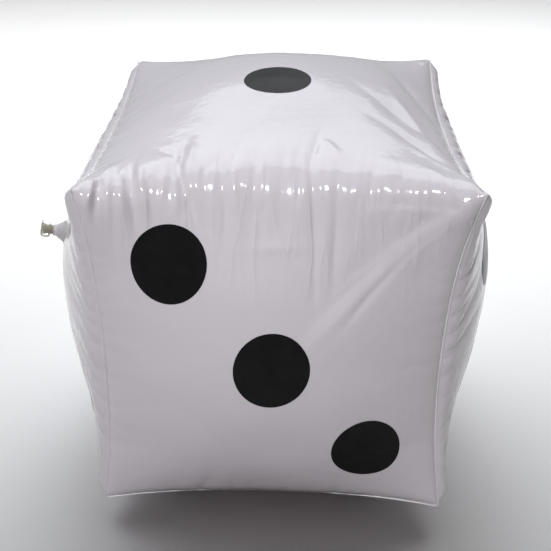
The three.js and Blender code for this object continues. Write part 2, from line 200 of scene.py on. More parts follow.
@dataclass(frozen=True)
class FilmFinish:
    """Glossy white soft vinyl film."""

    bright: tuple = (0.80, 0.755, 0.79, 1)
    shaded: tuple = (0.76, 0.71, 0.745, 1)
    roughness: float = 0.11
    roughness_change: float = 0.10
    wave_height: float = 0.0006
    fold_place: tuple = (-0.268, 0.485)
    fold_reach: tuple = (0.085, 0.075)
    fold_creases: float = 2.6

    def near_fold(self, graph: Graph) -> Value:
        """One along the loose fold, falling to zero away from it.

        Args:
            graph: The material's node tree.

        Returns:
            A value between 0 and 1.
        """
        total = 0.0
        for axis, middle, reach in zip("YZ", self.fold_place, self.fold_reach):
            place = graph.node("ShaderNodeSeparateXYZ", {}, {"Vector": graph.place()}, axis)
            off = (place - middle) * (1 / reach)
            total = total - off * off
        return graph.node("ShaderNodeMath", {"operation": "EXPONENT"}, {0: total})

    def fine_creases(self, graph: Graph) -> Value:
        """Thin ridges across the fold.

        Args:
            graph: The material's node tree.

        Returns:
            A height between 0 and 1.
        """
        cloud = graph.noise(30.0, 2.0, (1.0, 0.16, 0.16))
        away = graph.node("ShaderNodeMath", {"operation": "ABSOLUTE"}, {0: 2.0 * cloud - 1.0})
        return (1.0 - away) ** 6.0

    def build(self) -> bpy.types.Material:
        """Makes the material.

        Returns:
            The material.
        """
        graph = Graph("film_gloss_white", {"IOR": 1.53, "Specular IOR Level": 0.55})
        clouds = graph.noise(5.0, 3.0)
        graph.feed("Base Color", graph.mix(clouds, self.shaded, self.bright))
        smears = graph.noise(22.0, 4.0)
        graph.feed("Roughness", self.roughness + self.roughness_change * smears ** 2.0)
        waves = graph.noise(55.0, 1.0) + 0.25 * graph.noise(170.0, 1.0)
        creases = self.fold_creases * self.fine_creases(graph) * self.near_fold(graph)
        graph.bump(waves + creases, self.wave_height)
        return graph.material


@dataclass(frozen=True)
class WeldFinish:
    """Two layers of film pressed and welded, with a fine ribbed press mark."""

    pale: tuple = (0.90, 0.88, 0.89, 1)
    cloudy: tuple = (0.82, 0.80, 0.82, 1)
    rib_spacing: float = 0.0016

    def build(self) -> bpy.types.Material:
        """Makes the material.

        Returns:
            The material.
        """
        graph = Graph("weld_pressed_film", {"IOR": 1.5})
        graph.feed("Base Color", graph.mix(graph.noise(60.0, 2.0), self.cloudy, self.pale))
        graph.feed("Roughness", 0.26 + 0.16 * graph.noise(140.0, 2.0))
        settings = {"wave_type": "BANDS", "bands_direction": "DIAGONAL"}
        scale = 0.31 / self.rib_spacing
        inputs = {"Vector": graph.place(), "Scale": scale, "Distortion": 0.4}
        graph.bump(graph.node("ShaderNodeTexWave", settings, inputs, "Fac"), 0.0001, 0.6)
        return graph.material


@dataclass(frozen=True)
class InkFinish:
    """Black ink printed on the film."""

    dense: tuple = (0.007, 0.0065, 0.007, 1)
    thin: tuple = (0.016, 0.015, 0.016, 1)

    def build(self) -> bpy.types.Material:
        """Makes the material.

        Returns:
            The material.
        """
        graph = Graph("ink_black", {"IOR": 1.46, "Specular IOR Level": 0.14})
        graph.feed("Base Color", graph.mix(graph.noise(40.0, 4.0), self.dense, self.thin))
        graph.feed("Roughness", 0.2 + 0.14 * graph.noise(26.0, 4.0))
        waves = graph.noise(55.0, 1.0) + 0.05 * graph.noise(420.0, 2.0)
        graph.bump(waves, 0.0006)
        return graph.material


@dataclass(frozen=True)
class SoftVinylFinish:
    """Cloudy, half see-through moulded vinyl of the valve."""

    name: str
    clear: tuple
    cloudy: tuple
    see_through: float
    roughness: float = 0.24

    def build(self) -> bpy.types.Material:
        """Makes the material.

        Returns:
            The material.
        """
        constants = {"IOR": 1.5, "Transmission Weight": self.see_through}
        graph = Graph(self.name, constants)
        graph.feed("Base Color", graph.mix(graph.noise(90.0, 3.0), self.clear, self.cloudy))
        graph.feed("Roughness", self.roughness + 0.16 * graph.noise(220.0, 3.0))
        graph.bump(graph.noise(600.0, 2.0), 0.00008, 0.5)
        return graph.material


@dataclass(frozen=True)
class FloorFinish:
    """The pale floor of the studio."""

    colour: tuple = (0.93, 0.93, 0.93, 1)

    def build(self) -> bpy.types.Material:
        """Makes the material.

        Returns:
            The material.
        """
        graph = Graph("floor_pale", {"Specular IOR Level": 0.1})
        paler = tuple(min(1.0, part + 0.02) for part in self.colour)
        graph.feed("Base Color", graph.mix(graph.noise(1.5, 2.0), self.colour, paler))
        graph.feed("Roughness", 0.8 + 0.1 * graph.noise(4.0))
        return graph.material


# Mesh helpers.


def select_only(thing: bpy.types.Object) -> None:
    """Makes one object the only selected and the active one.

    Args:
        thing: The object.
    """
    bpy.ops.object.select_all(action="DESELECT")
    thing.select_set(True)
    bpy.context.view_layer.objects.active = thing


def deselect_all() -> None:
    """Deselects every object, so that operators act on the new one alone."""
    bpy.ops.object.select_all(action="DESELECT")


@contextmanager
def editing(piece: bpy.types.Object, choice: str = "SELECT") -> Iterator[None]:
    """Opens a piece's mesh for editing, and closes it again at the end.

    Args:
        piece: The piece to edit.
        choice: SELECT or DESELECT for all of its mesh, or nothing to leave the selection.

    Yields:
        Nothing: the operators of the block act on the open mesh.
    """
    select_only(piece)
    bpy.ops.object.mode_set(mode="EDIT")
    if choice:
        bpy.ops.mesh.select_all(action=choice)
    yield
    bpy.ops.object.mode_set(mode="OBJECT")


def select_parts(piece: bpy.types.Object, parts: str, wanted: np.ndarray) -> None:
    """Selects the wanted vertices or edges of a mesh and nothing else.

    Args:
        piece: The piece.
        parts: Which of its parts: vertices or edges.
        wanted: Which of them are selected.
    """
    with editing(piece, "DESELECT"):
        pass
    getattr(piece.data, parts).foreach_set("select", wanted)


def add_object(name: str, data: bpy.types.ID) -> bpy.types.Object:
    """Puts a mesh, lamp or camera into the scene.

    Args:
        name: The object's name.
        data: What it shows.

    Returns:
        The new object.
    """
    thing = bpy.data.objects.new(name, data)
    bpy.context.scene.collection.objects.link(thing)
    return thing


def frame_at(x_axis: tuple, y_axis: tuple, z_axis: tuple, origin: tuple) -> Matrix:
    """A frame with these three directions at this origin.

    Args:
        x_axis: The frame's first direction.
        y_axis: Its second direction.
        z_axis: Its third direction.
        origin: Where it stands.

    Returns:
        The frame's matrix.
    """
    matrix = np.eye(4)
    matrix[:3, 0], matrix[:3, 1], matrix[:3, 2] = x_axis, y_axis, z_axis
    matrix[:3, 3] = origin
    return Matrix(matrix.tolist())


def moved(points: np.ndarray, matrix: Matrix) -> np.ndarray:
    """Points taken through a frame's matrix."""
    array = np.array(matrix)
    return points @ array[:3, :3].T + array[:3, 3]


def new_piece(name: str) -> bpy.types.Object:
    """Names the primitive that was just added.

    Args:
        name: The piece's name.

    Returns:
        The piece.
    """
    piece = bpy.context.object
    piece.name = name
    piece.data.name = name
    return piece


def points_of(piece: bpy.types.Object) -> np.ndarray:
    """The places of a mesh's vertices, one row each.

    Args:
        piece: The piece.

    Returns:
        The places in metres.
    """
    flat = np.empty(len(piece.data.vertices) * 3)
    piece.data.vertices.foreach_get("co", flat)
    return flat.reshape(-1, 3)


def put_points(piece: bpy.types.Object, points: np.ndarray) -> None:
    """Moves a mesh's vertices."""
    piece.data.vertices.foreach_set("co", np.ascontiguousarray(points, np.float32).ravel())
    piece.data.update()


def apply_modifier(piece: bpy.types.Object, kind: str, **settings: object) -> None:
    """Adds a modifier with these settings and applies it.

    Args:
        piece: The piece.
        kind: The modifier's type.
        settings: The modifier's settings.
    """
    select_only(piece)
    modifier = piece.modifiers.new(kind.lower(), kind)
    for name, value in settings.items():
        setattr(modifier, name, value)
    bpy.ops.object.modifier_apply(modifier=modifier.name)


def smooth_shade(piece: bpy.types.Object, angle: float) -> None:
    """Shades a piece smooth but for edges sharper than an angle in degrees."""
    select_only(piece)
    bpy.ops.object.shade_smooth_by_angle(angle=math.radians(angle))


def clean_mesh(piece: bpy.types.Object, distance: float) -> None:
    """Merges doubled vertices and makes all faces look outwards.

    Args:
        piece: The piece.
        distance: How near vertices must be to count as one, in metres.
    """
    with editing(piece):
        bpy.ops.mesh.remove_doubles(threshold=distance)
        bpy.ops.mesh.dissolve_degenerate(threshold=distance / 4)
        bpy.ops.mesh.delete_loose()
        bpy.ops.mesh.select_all(action="SELECT")
        bpy.ops.mesh.normals_make_consistent(inside=False)


def finish_piece(
    piece: bpy.types.Object, material: bpy.types.Material, slot: str, *nodes: str
) -> None:
    """Dresses a piece and hides the part nodes that it stands for.

    Args:
        piece: The piece.
        material: What it is made of.
        slot: Not used.
        nodes: The part nodes that it stands for.
    """
    piece.data.materials.clear()
    piece.data.materials.append(material)
    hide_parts(*nodes)
    LOG.info("%s: %d faces", piece.name, len(piece.data.polygons))


def unit(vectors: np.ndarray) -> np.ndarray:
    """Vectors of length one."""
    return vectors / np.maximum(np.linalg.norm(vectors, axis=-1, keepdims=True), 1e-12)


def between(share: np.ndarray, first: object, second: object) -> np.ndarray:
    """A value on the way from the first to the second."""
    return (1 - share) * first + share * second


def valley(off: np.ndarray) -> np.ndarray:
    """The depth of a narrow valley with low shoulders, at places counted in its widths."""
    return 1.3 / (1 + off * off) ** 1.5 - 0.3


def spaced(
    random: np.random.Generator, k: int, count: int, run: tuple, jitter: tuple = (0, 1)
) -> float:
    """The place of one crease of many that are spread over a run.

    Args:
        random: Where the jitter is drawn from.
        k: The crease's number.
        count: How many there are.
        run: The run's start and its length.
        jitter: The least and the most that a crease lies past the start of its own stretch.

    Returns:
        The place.
    """
    start, length = run
    return start + length * (k + random.uniform(*jitter)) / count


# The blown-up film.


class Face(Enum):
    """The six squares of film, each with its two directions in the plane."""

    FRONT = ((1, 0, 0), (0, 0, 1))
    TOP = ((1, 0, 0), (0, 1, 0))
    BACK = ((1, 0, 0), (0, 0, -1))
    BOTTOM = ((1, 0, 0), (0, -1, 0))
    LEFT = ((0, -1, 0), (0, 0, 1))
    RIGHT = ((0, 1, 0), (0, 0, 1))

    @property
    def across(self) -> np.ndarray:
        """The direction in which u grows."""
        return np.array(self.value[0], float)

    @property
    def along(self) -> np.ndarray:
        """The direction in which v grows."""
        return np.array(self.value[1], float)

    @property
    def outward(self) -> np.ndarray:
        """The direction in which the face looks."""
        return np.cross(self.across, self.along)

    @staticmethod
    def towards(direction: np.ndarray) -> "Face":
        """The face that looks in a direction."""
        return next(face for face in Face if face.outward @ direction > 0.5)


def edge_pulls() -> dict[tuple[Face, Face], float]:
    """How far edges are pulled in where they differ from the even pull.

    Returns:
        Metres for each face and the face beyond its edge.
    """
    front, top, back = Face.FRONT, Face.TOP, Face.BACK
    bottom, left, right = Face.BOTTOM, Face.LEFT, Face.RIGHT
    return {
        (front, top): 0.052,
        (top, front): -0.012,
        (front, left): 0.016,
        (left, front): 0.016,
        (front, right): 0.036,
        (right, front): 0.020,
        (top, left): 0.029,
        (left, top): -0.002,
        (top, right): 0.029,
        (right, top): 0.010,
        (top, back): 0.004,
        (back, top): 0.013,
        (bottom, front): 0.012,
        (front, bottom): 0.012,
    }


@dataclass(frozen=True)
class BlownShape:
    """The smooth shape that the film takes when it is blown up."""

    half: float = 0.250
    reach: float = 0.24375
    arc_power: float = 2.2
    fullness: float = 0.86
    sideways: float = 0.056
    sink: float = 0.005
    pull: float = 0.022
    pulls: dict = field(default_factory=edge_pulls)
    crowns: dict = field(default_factory=lambda: {
        Face.FRONT: 0.097, Face.TOP: 0.073, Face.BACK: 0.094,
        Face.BOTTOM: 0.090, Face.LEFT: 0.107, Face.RIGHT: 0.106,
    })
    leans: dict = field(default_factory=lambda: {
        Face.FRONT: -0.08, Face.TOP: 0.44, Face.BOTTOM: -0.08,
    })
    corner_shifts: dict = field(default_factory=lambda: {
        (-1, -1, 1): (-4, 4, -4),
        (1, -1, 1): (1, -4, 5),
        (-1, -1, -1): (-3, 1, -7),
        (1, -1, -1): (-9, -6, -1),
        (-1, 1, 1): (4, 1, -4),
        (1, 1, 1): (-11, 2, 7),
    })
    shift_limit: float = 1.1

    def arc(self, share: np.ndarray) -> np.ndarray:
        """The share of an edge's pull at a share of its length from the middle."""
        return 1 - np.abs(share) ** self.arc_power

    def spread(self, share: np.ndarray) -> np.ndarray:
        """How a share of the flat film spreads over the bulging face."""
        return share * (1 + self.sideways * (1 - share * share))

    def shift_with_corners(self, points: np.ndarray) -> np.ndarray:
        """Moves points of the even cube with the corners near them.

        Args:
            points: Points round the die's centre.

        Returns:
            The moved points.
        """
        place = np.clip(points / self.reach, -self.shift_limit, self.shift_limit)
        moved = points.copy()
        for corner, shift in self.corner_shifts.items():
            share = np.prod((1 + np.array(corner) * place) / 2, axis=-1)
            moved += share[..., None] * np.array(shift) * MM
        return moved

    def pull_at(self, face: Face, other: Face) -> float:
        """How far a face's edge towards another face is pulled in."""
        return self.pulls.get((face, other), self.pull)

    def round_centre(self, face: Face, u: np.ndarray, v: np.ndarray) -> np.ndarray:
        """Points of the film round the die's centre, for u and v from -1 to 1.

        Args:
            face: The face.
            u: Shares across the face.
            v: Shares along the face.

        Returns:
            The points in metres.
        """
        u, v = np.broadcast_arrays(np.asarray(u, float), np.asarray(v, float))
        right, left = Face.towards(face.across), Face.towards(-face.across)
        far, near = Face.towards(face.along), Face.towards(-face.along)
        to_right, to_far = (1 + u) / 2, (1 + v) / 2
        get = self.pull_at
        swell = np.clip((1 - u * u) * (1 - v * v), 0, None) ** self.fullness
        crown = self.crowns[face] * (1 + self.leans.get(face, 0.0) * v) * swell
        across = self.spread(u) * self.reach
        across -= self.arc(v) * between(to_right, -get(left, face), get(right, face))
        along = self.spread(v) * self.reach
        along -= self.arc(u) * between(to_far, -get(near, face), get(far, face))
        outwards = self.reach + crown
        outwards -= self.arc(v) * between(to_right, get(face, left), get(face, right))
        outwards -= self.arc(u) * between(to_far, get(face, near), get(face, far))
        points = across[..., None] * face.across
        points = points + along[..., None] * face.along + outwards[..., None] * face.outward
        return self.shift_with_corners(points)

    @property
    def centre_height(self) -> float:
        """The height of the die's centre over what it rests on."""
        return float(-self.round_centre(Face.BOTTOM, 0.0, 0.0)[2] - self.sink)

    def points(self, face: Face, u: np.ndarray, v: np.ndarray) -> np.ndarray:
        """Points of the film in the part's frame, flat where the die rests.

        Args:
            face: The face.
            u: Shares across the face.
            v: Shares along the face.

        Returns:
            The points in metres.
        """
        points = self.round_centre(face, u, v)
        points[..., 2] = np.maximum(points[..., 2] + self.centre_height, 0)
        return points

    def normals(self, face: Face, u: np.ndarray, v: np.ndarray) -> np.ndarray:
        """The film's outward normals.

        Args:
            face: The face.
            u: Shares across the face.
            v: Shares along the face.

        Returns:
            Normals of length one.
        """
        step = 1e-3
        across = self.points(face, u + step, v) - self.points(face, u - step, v)
        along = self.points(face, u, v + step) - self.points(face, u, v - step)
        return unit(np.cross(across, along))


@dataclass(frozen=True)
class Edge:
    """One edge between two faces, with the signs of u or v that lead to it."""

    face: Face
    other: Face
    along_v: bool
    sign: int

    @property
    def key(self) -> int:
        """A number that both faces at the edge agree on.

        Returns:
            The number.
        """
        order = list(Face)
        pair = sorted((order.index(self.face), order.index(self.other)))
        return 10 * pair[0] + pair[1]

    def measure(self, u: np.ndarray, v: np.ndarray, half: float) -> tuple:
        """How far points are along the edge and from it.

        Args:
            u: Shares across the face.
            v: Shares along the face.
            half: Half the film square's side.

        Returns:
            Metres from the middle of the edge, and metres from the edge.
        """
        direction = self.face.along if self.along_v else self.face.across
        share, gap = (v, u) if self.along_v else (u, v)
        return share * half * direction.sum(), (1 - self.sign * gap) * half


def edges_of(face: Face) -> list[Edge]:
    """The four edges of a face.

    Args:
        face: The face.

    Returns:
        The edges.
    """
    return [
        Edge(face, Face.towards(face.across), True, 1),
        Edge(face, Face.towards(-face.across), True, -1),
        Edge(face, Face.towards(face.along), False, 1),
        Edge(face, Face.towards(-face.along), False, -1),
    ]


@dataclass(frozen=True)
class SeamPuckers:
    """Short creases that run away from the welded seams, where the film is bunched."""

    seed: int = 40
    count: int = 17
    run: tuple = (-0.9, 1.8)
    jitter: tuple = (0.1, 0.9)
    depth: float = 1.7 * MM
    side_depth: float = 4.4 * MM
    depths: tuple = (0.25, 1.0)
    width: float = 4.4 * MM
    widths: tuple = (0.7, 1.6)
    widening: float = 1.5
    length: float = 42 * MM
    lengths: tuple = (0.45, 1.7)
    lean: float = 0.12
    side_lean: float = 0.55
    slants: tuple = (-0.3, 0.3)
    start: float = 7 * MM
    fade_power: float = 1.6

    def height(self, edge: Edge, shape: BlownShape, u: np.ndarray, v: np.ndarray) -> np.ndarray:
        """How far the film sinks at each point because of one seam's puckers.

        Args:
            edge: The seam's edge.
            shape: The blown-up shape.
            u: Shares across the face.
            v: Shares along the face.

        Returns:
            The height in metres.
        """
        random = np.random.default_rng(self.seed + edge.key)
        side = edge.face in (Face.LEFT, Face.RIGHT)
        deepest = self.side_depth if side else self.depth
        lean = self.side_lean if side else self.lean
        along, gap = edge.measure(u, v, shape.half)
        total = np.zeros_like(along)
        for k in range(self.count):
            share = spaced(random, k, self.count, self.run, self.jitter)
            length = self.length * random.uniform(*self.lengths)
            width = self.width * random.uniform(*self.widths)
            depth = deepest * random.uniform(*self.depths) * (1 - share * share)
            slant = random.uniform(*self.slants) + lean
            spread = width * (1 + self.widening * gap / length)
            off = (along - share * shape.half - slant * gap) / spread
            fade = np.exp(-((gap / length) ** self.fade_power))
            fade = (1 - np.exp(-gap / self.start)) * fade
            total -= depth * fade * valley(off)
        return total


@dataclass(frozen=True)
class Crease:
    """One crease between two places on a wrap: u across, s along with 0 at its fold.

    A negative height is a valley. The sharper side is given by a small width.
    """

    start: tuple
    end: tuple
    width: float
    height: float
    step: float = 0.0
    gain: float = 1.25
    overrun: float = 3
    end_share: float = 0.35
    taper_power: float = 0.7
    ridge_power: float = 1.35
    step_reach: float = 2.2

    def lift(self, u: np.ndarray, s: np.ndarray, half: float) -> np.ndarray:
        """How far the crease lifts the film at each point.

        Args:
            u: Shares across the wrap.
            s: Shares along the wrap, 0 at its fold.
            half: Half the film square's side.

        Returns:
            The lift in metres.
        """
        first = np.array(self.start) * half
        line = np.array(self.end) * half - first
        length = np.hypot(*line)
        dx, dy = u * half - first[0], s * half - first[1]
        share = (dx * line[0] + dy * line[1]) / length**2
        off = (dx * line[1] - dy * line[0]) / length / self.width
        inside = np.clip(share, 0, 1)
        over = (share - inside) * length / (self.overrun * self.width)
        swell = np.sin(math.pi * inside) ** self.taper_power
        taper = np.exp(-(over**2)) * (self.end_share + (1 - self.end_share) * swell)
        ridge = np.exp(-np.abs(off) ** self.ridge_power)
        slope = off * np.exp(-np.abs(off) / self.step_reach)
        return taper * (self.height * ridge + self.step * slope) * self.gain


def fold_creases() -> list[Crease]:
    """The single creases that stand out on the front and top wrap.

    Returns:
        The creases.
    """
    return [
        Crease((-0.47, 0.28), (-0.49, 0.02), 4.0 * MM, -4.6 * MM),
        Crease((-0.49, 0.04), (-0.40, -0.24), 4.4 * MM, -4.2 * MM),
        Crease((-0.42, 0.30), (-0.42, 0.02), 5.0 * MM, 2.6 * MM),
        Crease((-0.59, 0.30), (-0.52, 0.20), 6.0 * MM, -2.6 * MM),
        Crease((-0.74, 0.22), (-0.70, -0.20), 7.0 * MM, -3.6 * MM),
        Crease((-0.68, 0.16), (-0.65, -0.16), 7.0 * MM, 2.0 * MM),
        Crease((-0.99, -0.12), (-0.80, 0.22), 6.0 * MM, 3.0 * MM),
        Crease((-0.93, -0.16), (-0.88, 0.08), 7.0 * MM, -3.2 * MM),
        Crease((-0.41, -0.08), (-0.33, -0.30), 5.0 * MM, -2.6 * MM),
        Crease((-0.28, 0.14), (-0.25, -0.26), 6.0 * MM, -2.6 * MM),
        Crease((-0.21, 0.08), (-0.19, -0.22), 6.0 * MM, 1.8 * MM),
        Crease((-0.17, -0.10), (-0.08, -0.24), 5.0 * MM, -2.0 * MM),
        Crease((0.21, 0.38), (0.16, 0.02), 5.0 * MM, -2.8 * MM),
        Crease((0.16, 0.04), (0.21, -0.60), 5.5 * MM, -3.0 * MM),
        Crease((0.24, 0.30), (0.30, 0.14), 5.0 * MM, 2.0 * MM),
        Crease((0.29, -0.06), (0.30, -0.56), 5.5 * MM, -2.6 * MM),
        Crease((0.46, -0.175), (0.90, -0.125), 4.0 * MM, 1.2 * MM, 1.0 * MM),
        Crease((-0.12, -0.38), (0.12, -0.37), 7.0 * MM, 1.6 * MM),
        Crease((1.0, -0.03), (0.16, -0.90), 9.0 * MM, 2.4 * MM, -2.0 * MM),
        Crease((0.97, -0.04), (0.20, -0.80), 3.6 * MM, 0.9 * MM, -0.5 * MM),
        Crease((0.90, -0.17), (0.42, -0.74), 4.2 * MM, 1.0 * MM, -0.8 * MM),
        Crease((0.80, -0.20), (0.34, -0.60), 5.0 * MM, 1.4 * MM),
        Crease((0.62, -0.48), (0.36, -0.78), 4.5 * MM, -1.8 * MM),
        Crease((0.60, 0.62), (0.90, 0.34), 16.0 * MM, -4.0 * MM),
        Crease((0.98, 0.10), (0.70, 0.44), 11.0 * MM, 3.0 * MM),
        Crease((0.56, 0.95), (0.88, 0.62), 14.0 * MM, -3.4 * MM),
        Crease((0.86, 0.56), (0.66, 1.10), 11.0 * MM, 2.6 * MM),
        Crease((0.72, 1.50), (0.93, 1.05), 13.0 * MM, -3.0 * MM),
        Crease((0.96, -0.10), (0.72, 0.16), 8.0 * MM, 1.8 * MM),
    ]


@dataclass(frozen=True)
class FoldPuckers:
    """The many creases across the loose fold between the front and the top.

    Runs are a start and a length in shares across the wrap, and lines are shares along it.
    """

    seed: int = 7
    count: int = 34
    run: tuple = (-0.93, 1.86)
    line: float = -0.05
    depth: float = 3.2 * MM
    depths: tuple = (0.3, 1.0)
    calm_places: tuple = (-0.4, -0.25, 0.1, 0.3)
    calm_shares: tuple = (1.0, 0.55, 0.5, 0.18)
    width: float = 4.6 * MM
    widths: tuple = (0.8, 1.7)
    reaches_up: tuple = (0.08, 0.34)
    reaches_down: tuple = (0.10, 0.30)
    slants: tuple = (-0.18, 0.18)
    fade_power: float = 2.2
    crimps: int = 34
    crimp_run: tuple = (-0.35, 1.1)
    crimp_jitter: tuple = (0.2, 0.8)
    crimp_line: float = -0.09
    crimp_sway: tuple = (-0.02, 0.02)
    crimp_reach: float = 0.06
    crimp_width: float = 3.6 * MM
    crimp_depth: float = 0.45 * MM
    dents: int = 60
    dent_run: tuple = (-0.9, 1.7)
    dent_lines: tuple = (-0.26, 0.06)
    dent_radii: tuple = (7, 17)
    dent_turns: tuple = (-0.9, 0.9)
    dent_narrowing: float = 1.8
    dent_stretch: float = 0.8
    dent_depth: float = 1.3 * MM
    dent_depths: tuple = (-1, 0.6)

    def pucker(
        self, random: np.random.Generator, k: int, u: np.ndarray, s: np.ndarray, half: float
    ) -> np.ndarray:
        """How far one pucker sinks the wrap.

        Args:
            random: Where the random numbers are drawn from.
            k: Its number.
            u: Shares across the wrap.
            s: Shares along the wrap, 0 at its fold.
            half: Half the film square's side.

        Returns:
            The depth in metres.
        """
        middle = spaced(random, k, self.count, self.run)
        calm = float(np.interp(middle, self.calm_places, self.calm_shares))
        depth = self.depth * random.uniform(*self.depths) * calm
        width = self.width * random.uniform(*self.widths)
        up, down = random.uniform(*self.reaches_up), random.uniform(*self.reaches_down)
        slant = random.uniform(*self.slants)
        reach = np.where(s > self.line, up, down)
        fade = np.exp(-np.abs((s - self.line) / reach) ** self.fade_power)
        off = (u - middle - slant * (s - self.line)) * half / width
        return depth * fade * valley(off)

    def crimp(
        self, random: np.random.Generator, k: int, u: np.ndarray, s: np.ndarray, half: float
    ) -> np.ndarray:
        """How far one short crimp just under the fold lifts the wrap.

        Args:
            random: Where the random numbers are drawn from.
            k: Its number.
            u: Shares across the wrap.
            s: Shares along the wrap, 0 at its fold.
            half: Half the film square's side.

        Returns:
            The height in metres.
        """
        middle = spaced(random, k, self.crimps, self.crimp_run, self.crimp_jitter)
        off = (u - middle) * half / self.crimp_width
        away = s - self.crimp_line + random.uniform(*self.crimp_sway)
        fade = np.exp(-((away / self.crimp_reach) ** 2))
        return self.crimp_depth * fade * np.exp(-off * off)

    def dent(
        self, random: np.random.Generator, k: int, u: np.ndarray, s: np.ndarray, half: float
    ) -> np.ndarray:
        """How far one slanting dent or bump moves the wrap.

        Args:
            random: Where the random numbers are drawn from.
            k: Its number.
            u: Shares across the wrap.
            s: Shares along the wrap, 0 at its fold.
            half: Half the film square's side.

        Returns:
            The height in metres.
        """
        middle = spaced(random, k, self.dents, self.dent_run)
        low = random.uniform(*self.dent_lines)
        radius = random.uniform(*self.dent_radii) * MM
        turn = random.uniform(*self.dent_turns)
        du, ds = (u - middle) * half / radius, (s - low) * half / radius
        off = self.dent_narrowing * (du * math.cos(turn) + ds * math.sin(turn))
        run = self.dent_stretch * (ds * math.cos(turn) - du * math.sin(turn))
        depth = self.dent_depth * random.uniform(*self.dent_depths)
        return depth * np.exp(-off * off - run * run)

    def height(self, u: np.ndarray, s: np.ndarray, half: float) -> np.ndarray:
        """How far the puckers lift or sink the wrap at each point.

        Args:
            u: Shares across the wrap.
            s: Shares along the wrap, 0 at its fold.
            half: Half the film square's side.

        Returns:
            The height in metres.
        """
        random = np.random.default_rng(self.seed)
        total = np.zeros_like(u)
        for k in range(self.count):
            total -= self.pucker(random, k, u, s, half)
        for k in range(self.crimps):
            total += self.crimp(random, k, u, s, half)
        for k in range(self.dents):
            total += self.dent(random, k, u, s, half)
        return total


@dataclass(frozen=True)
class LooseFilm:
    """Slow, shallow unevenness of film that isn't quite tight."""

    seed: int = 3
    waves: int = 46
    depth: float = 0.55 * MM
    shortest: float = 0.045
    longest: float = 0.18
    strengths: tuple = (0.3, 1.0)
    evening: float = math.sqrt(6)

    def height(self, points: np.ndarray) -> np.ndarray:
        """How far the film moves at each point, from its place alone.

        Args:
            points: Places on the blown-up film.

        Returns:
            The height in metres.
        """
        random = np.random.default_rng(self.seed)
        total = np.zeros(points.shape[:-1])
        for _ in range(self.waves):
            length = random.uniform(self.shortest, self.longest)
            direction = unit(random.normal(size=3)) * 2 * math.pi / length
            strength = self.depth * (length / self.longest) * random.uniform(*self.strengths)
            total += strength * np.sin(points @ direction + random.uniform(0, 2 * math.pi))
        return total / self.evening


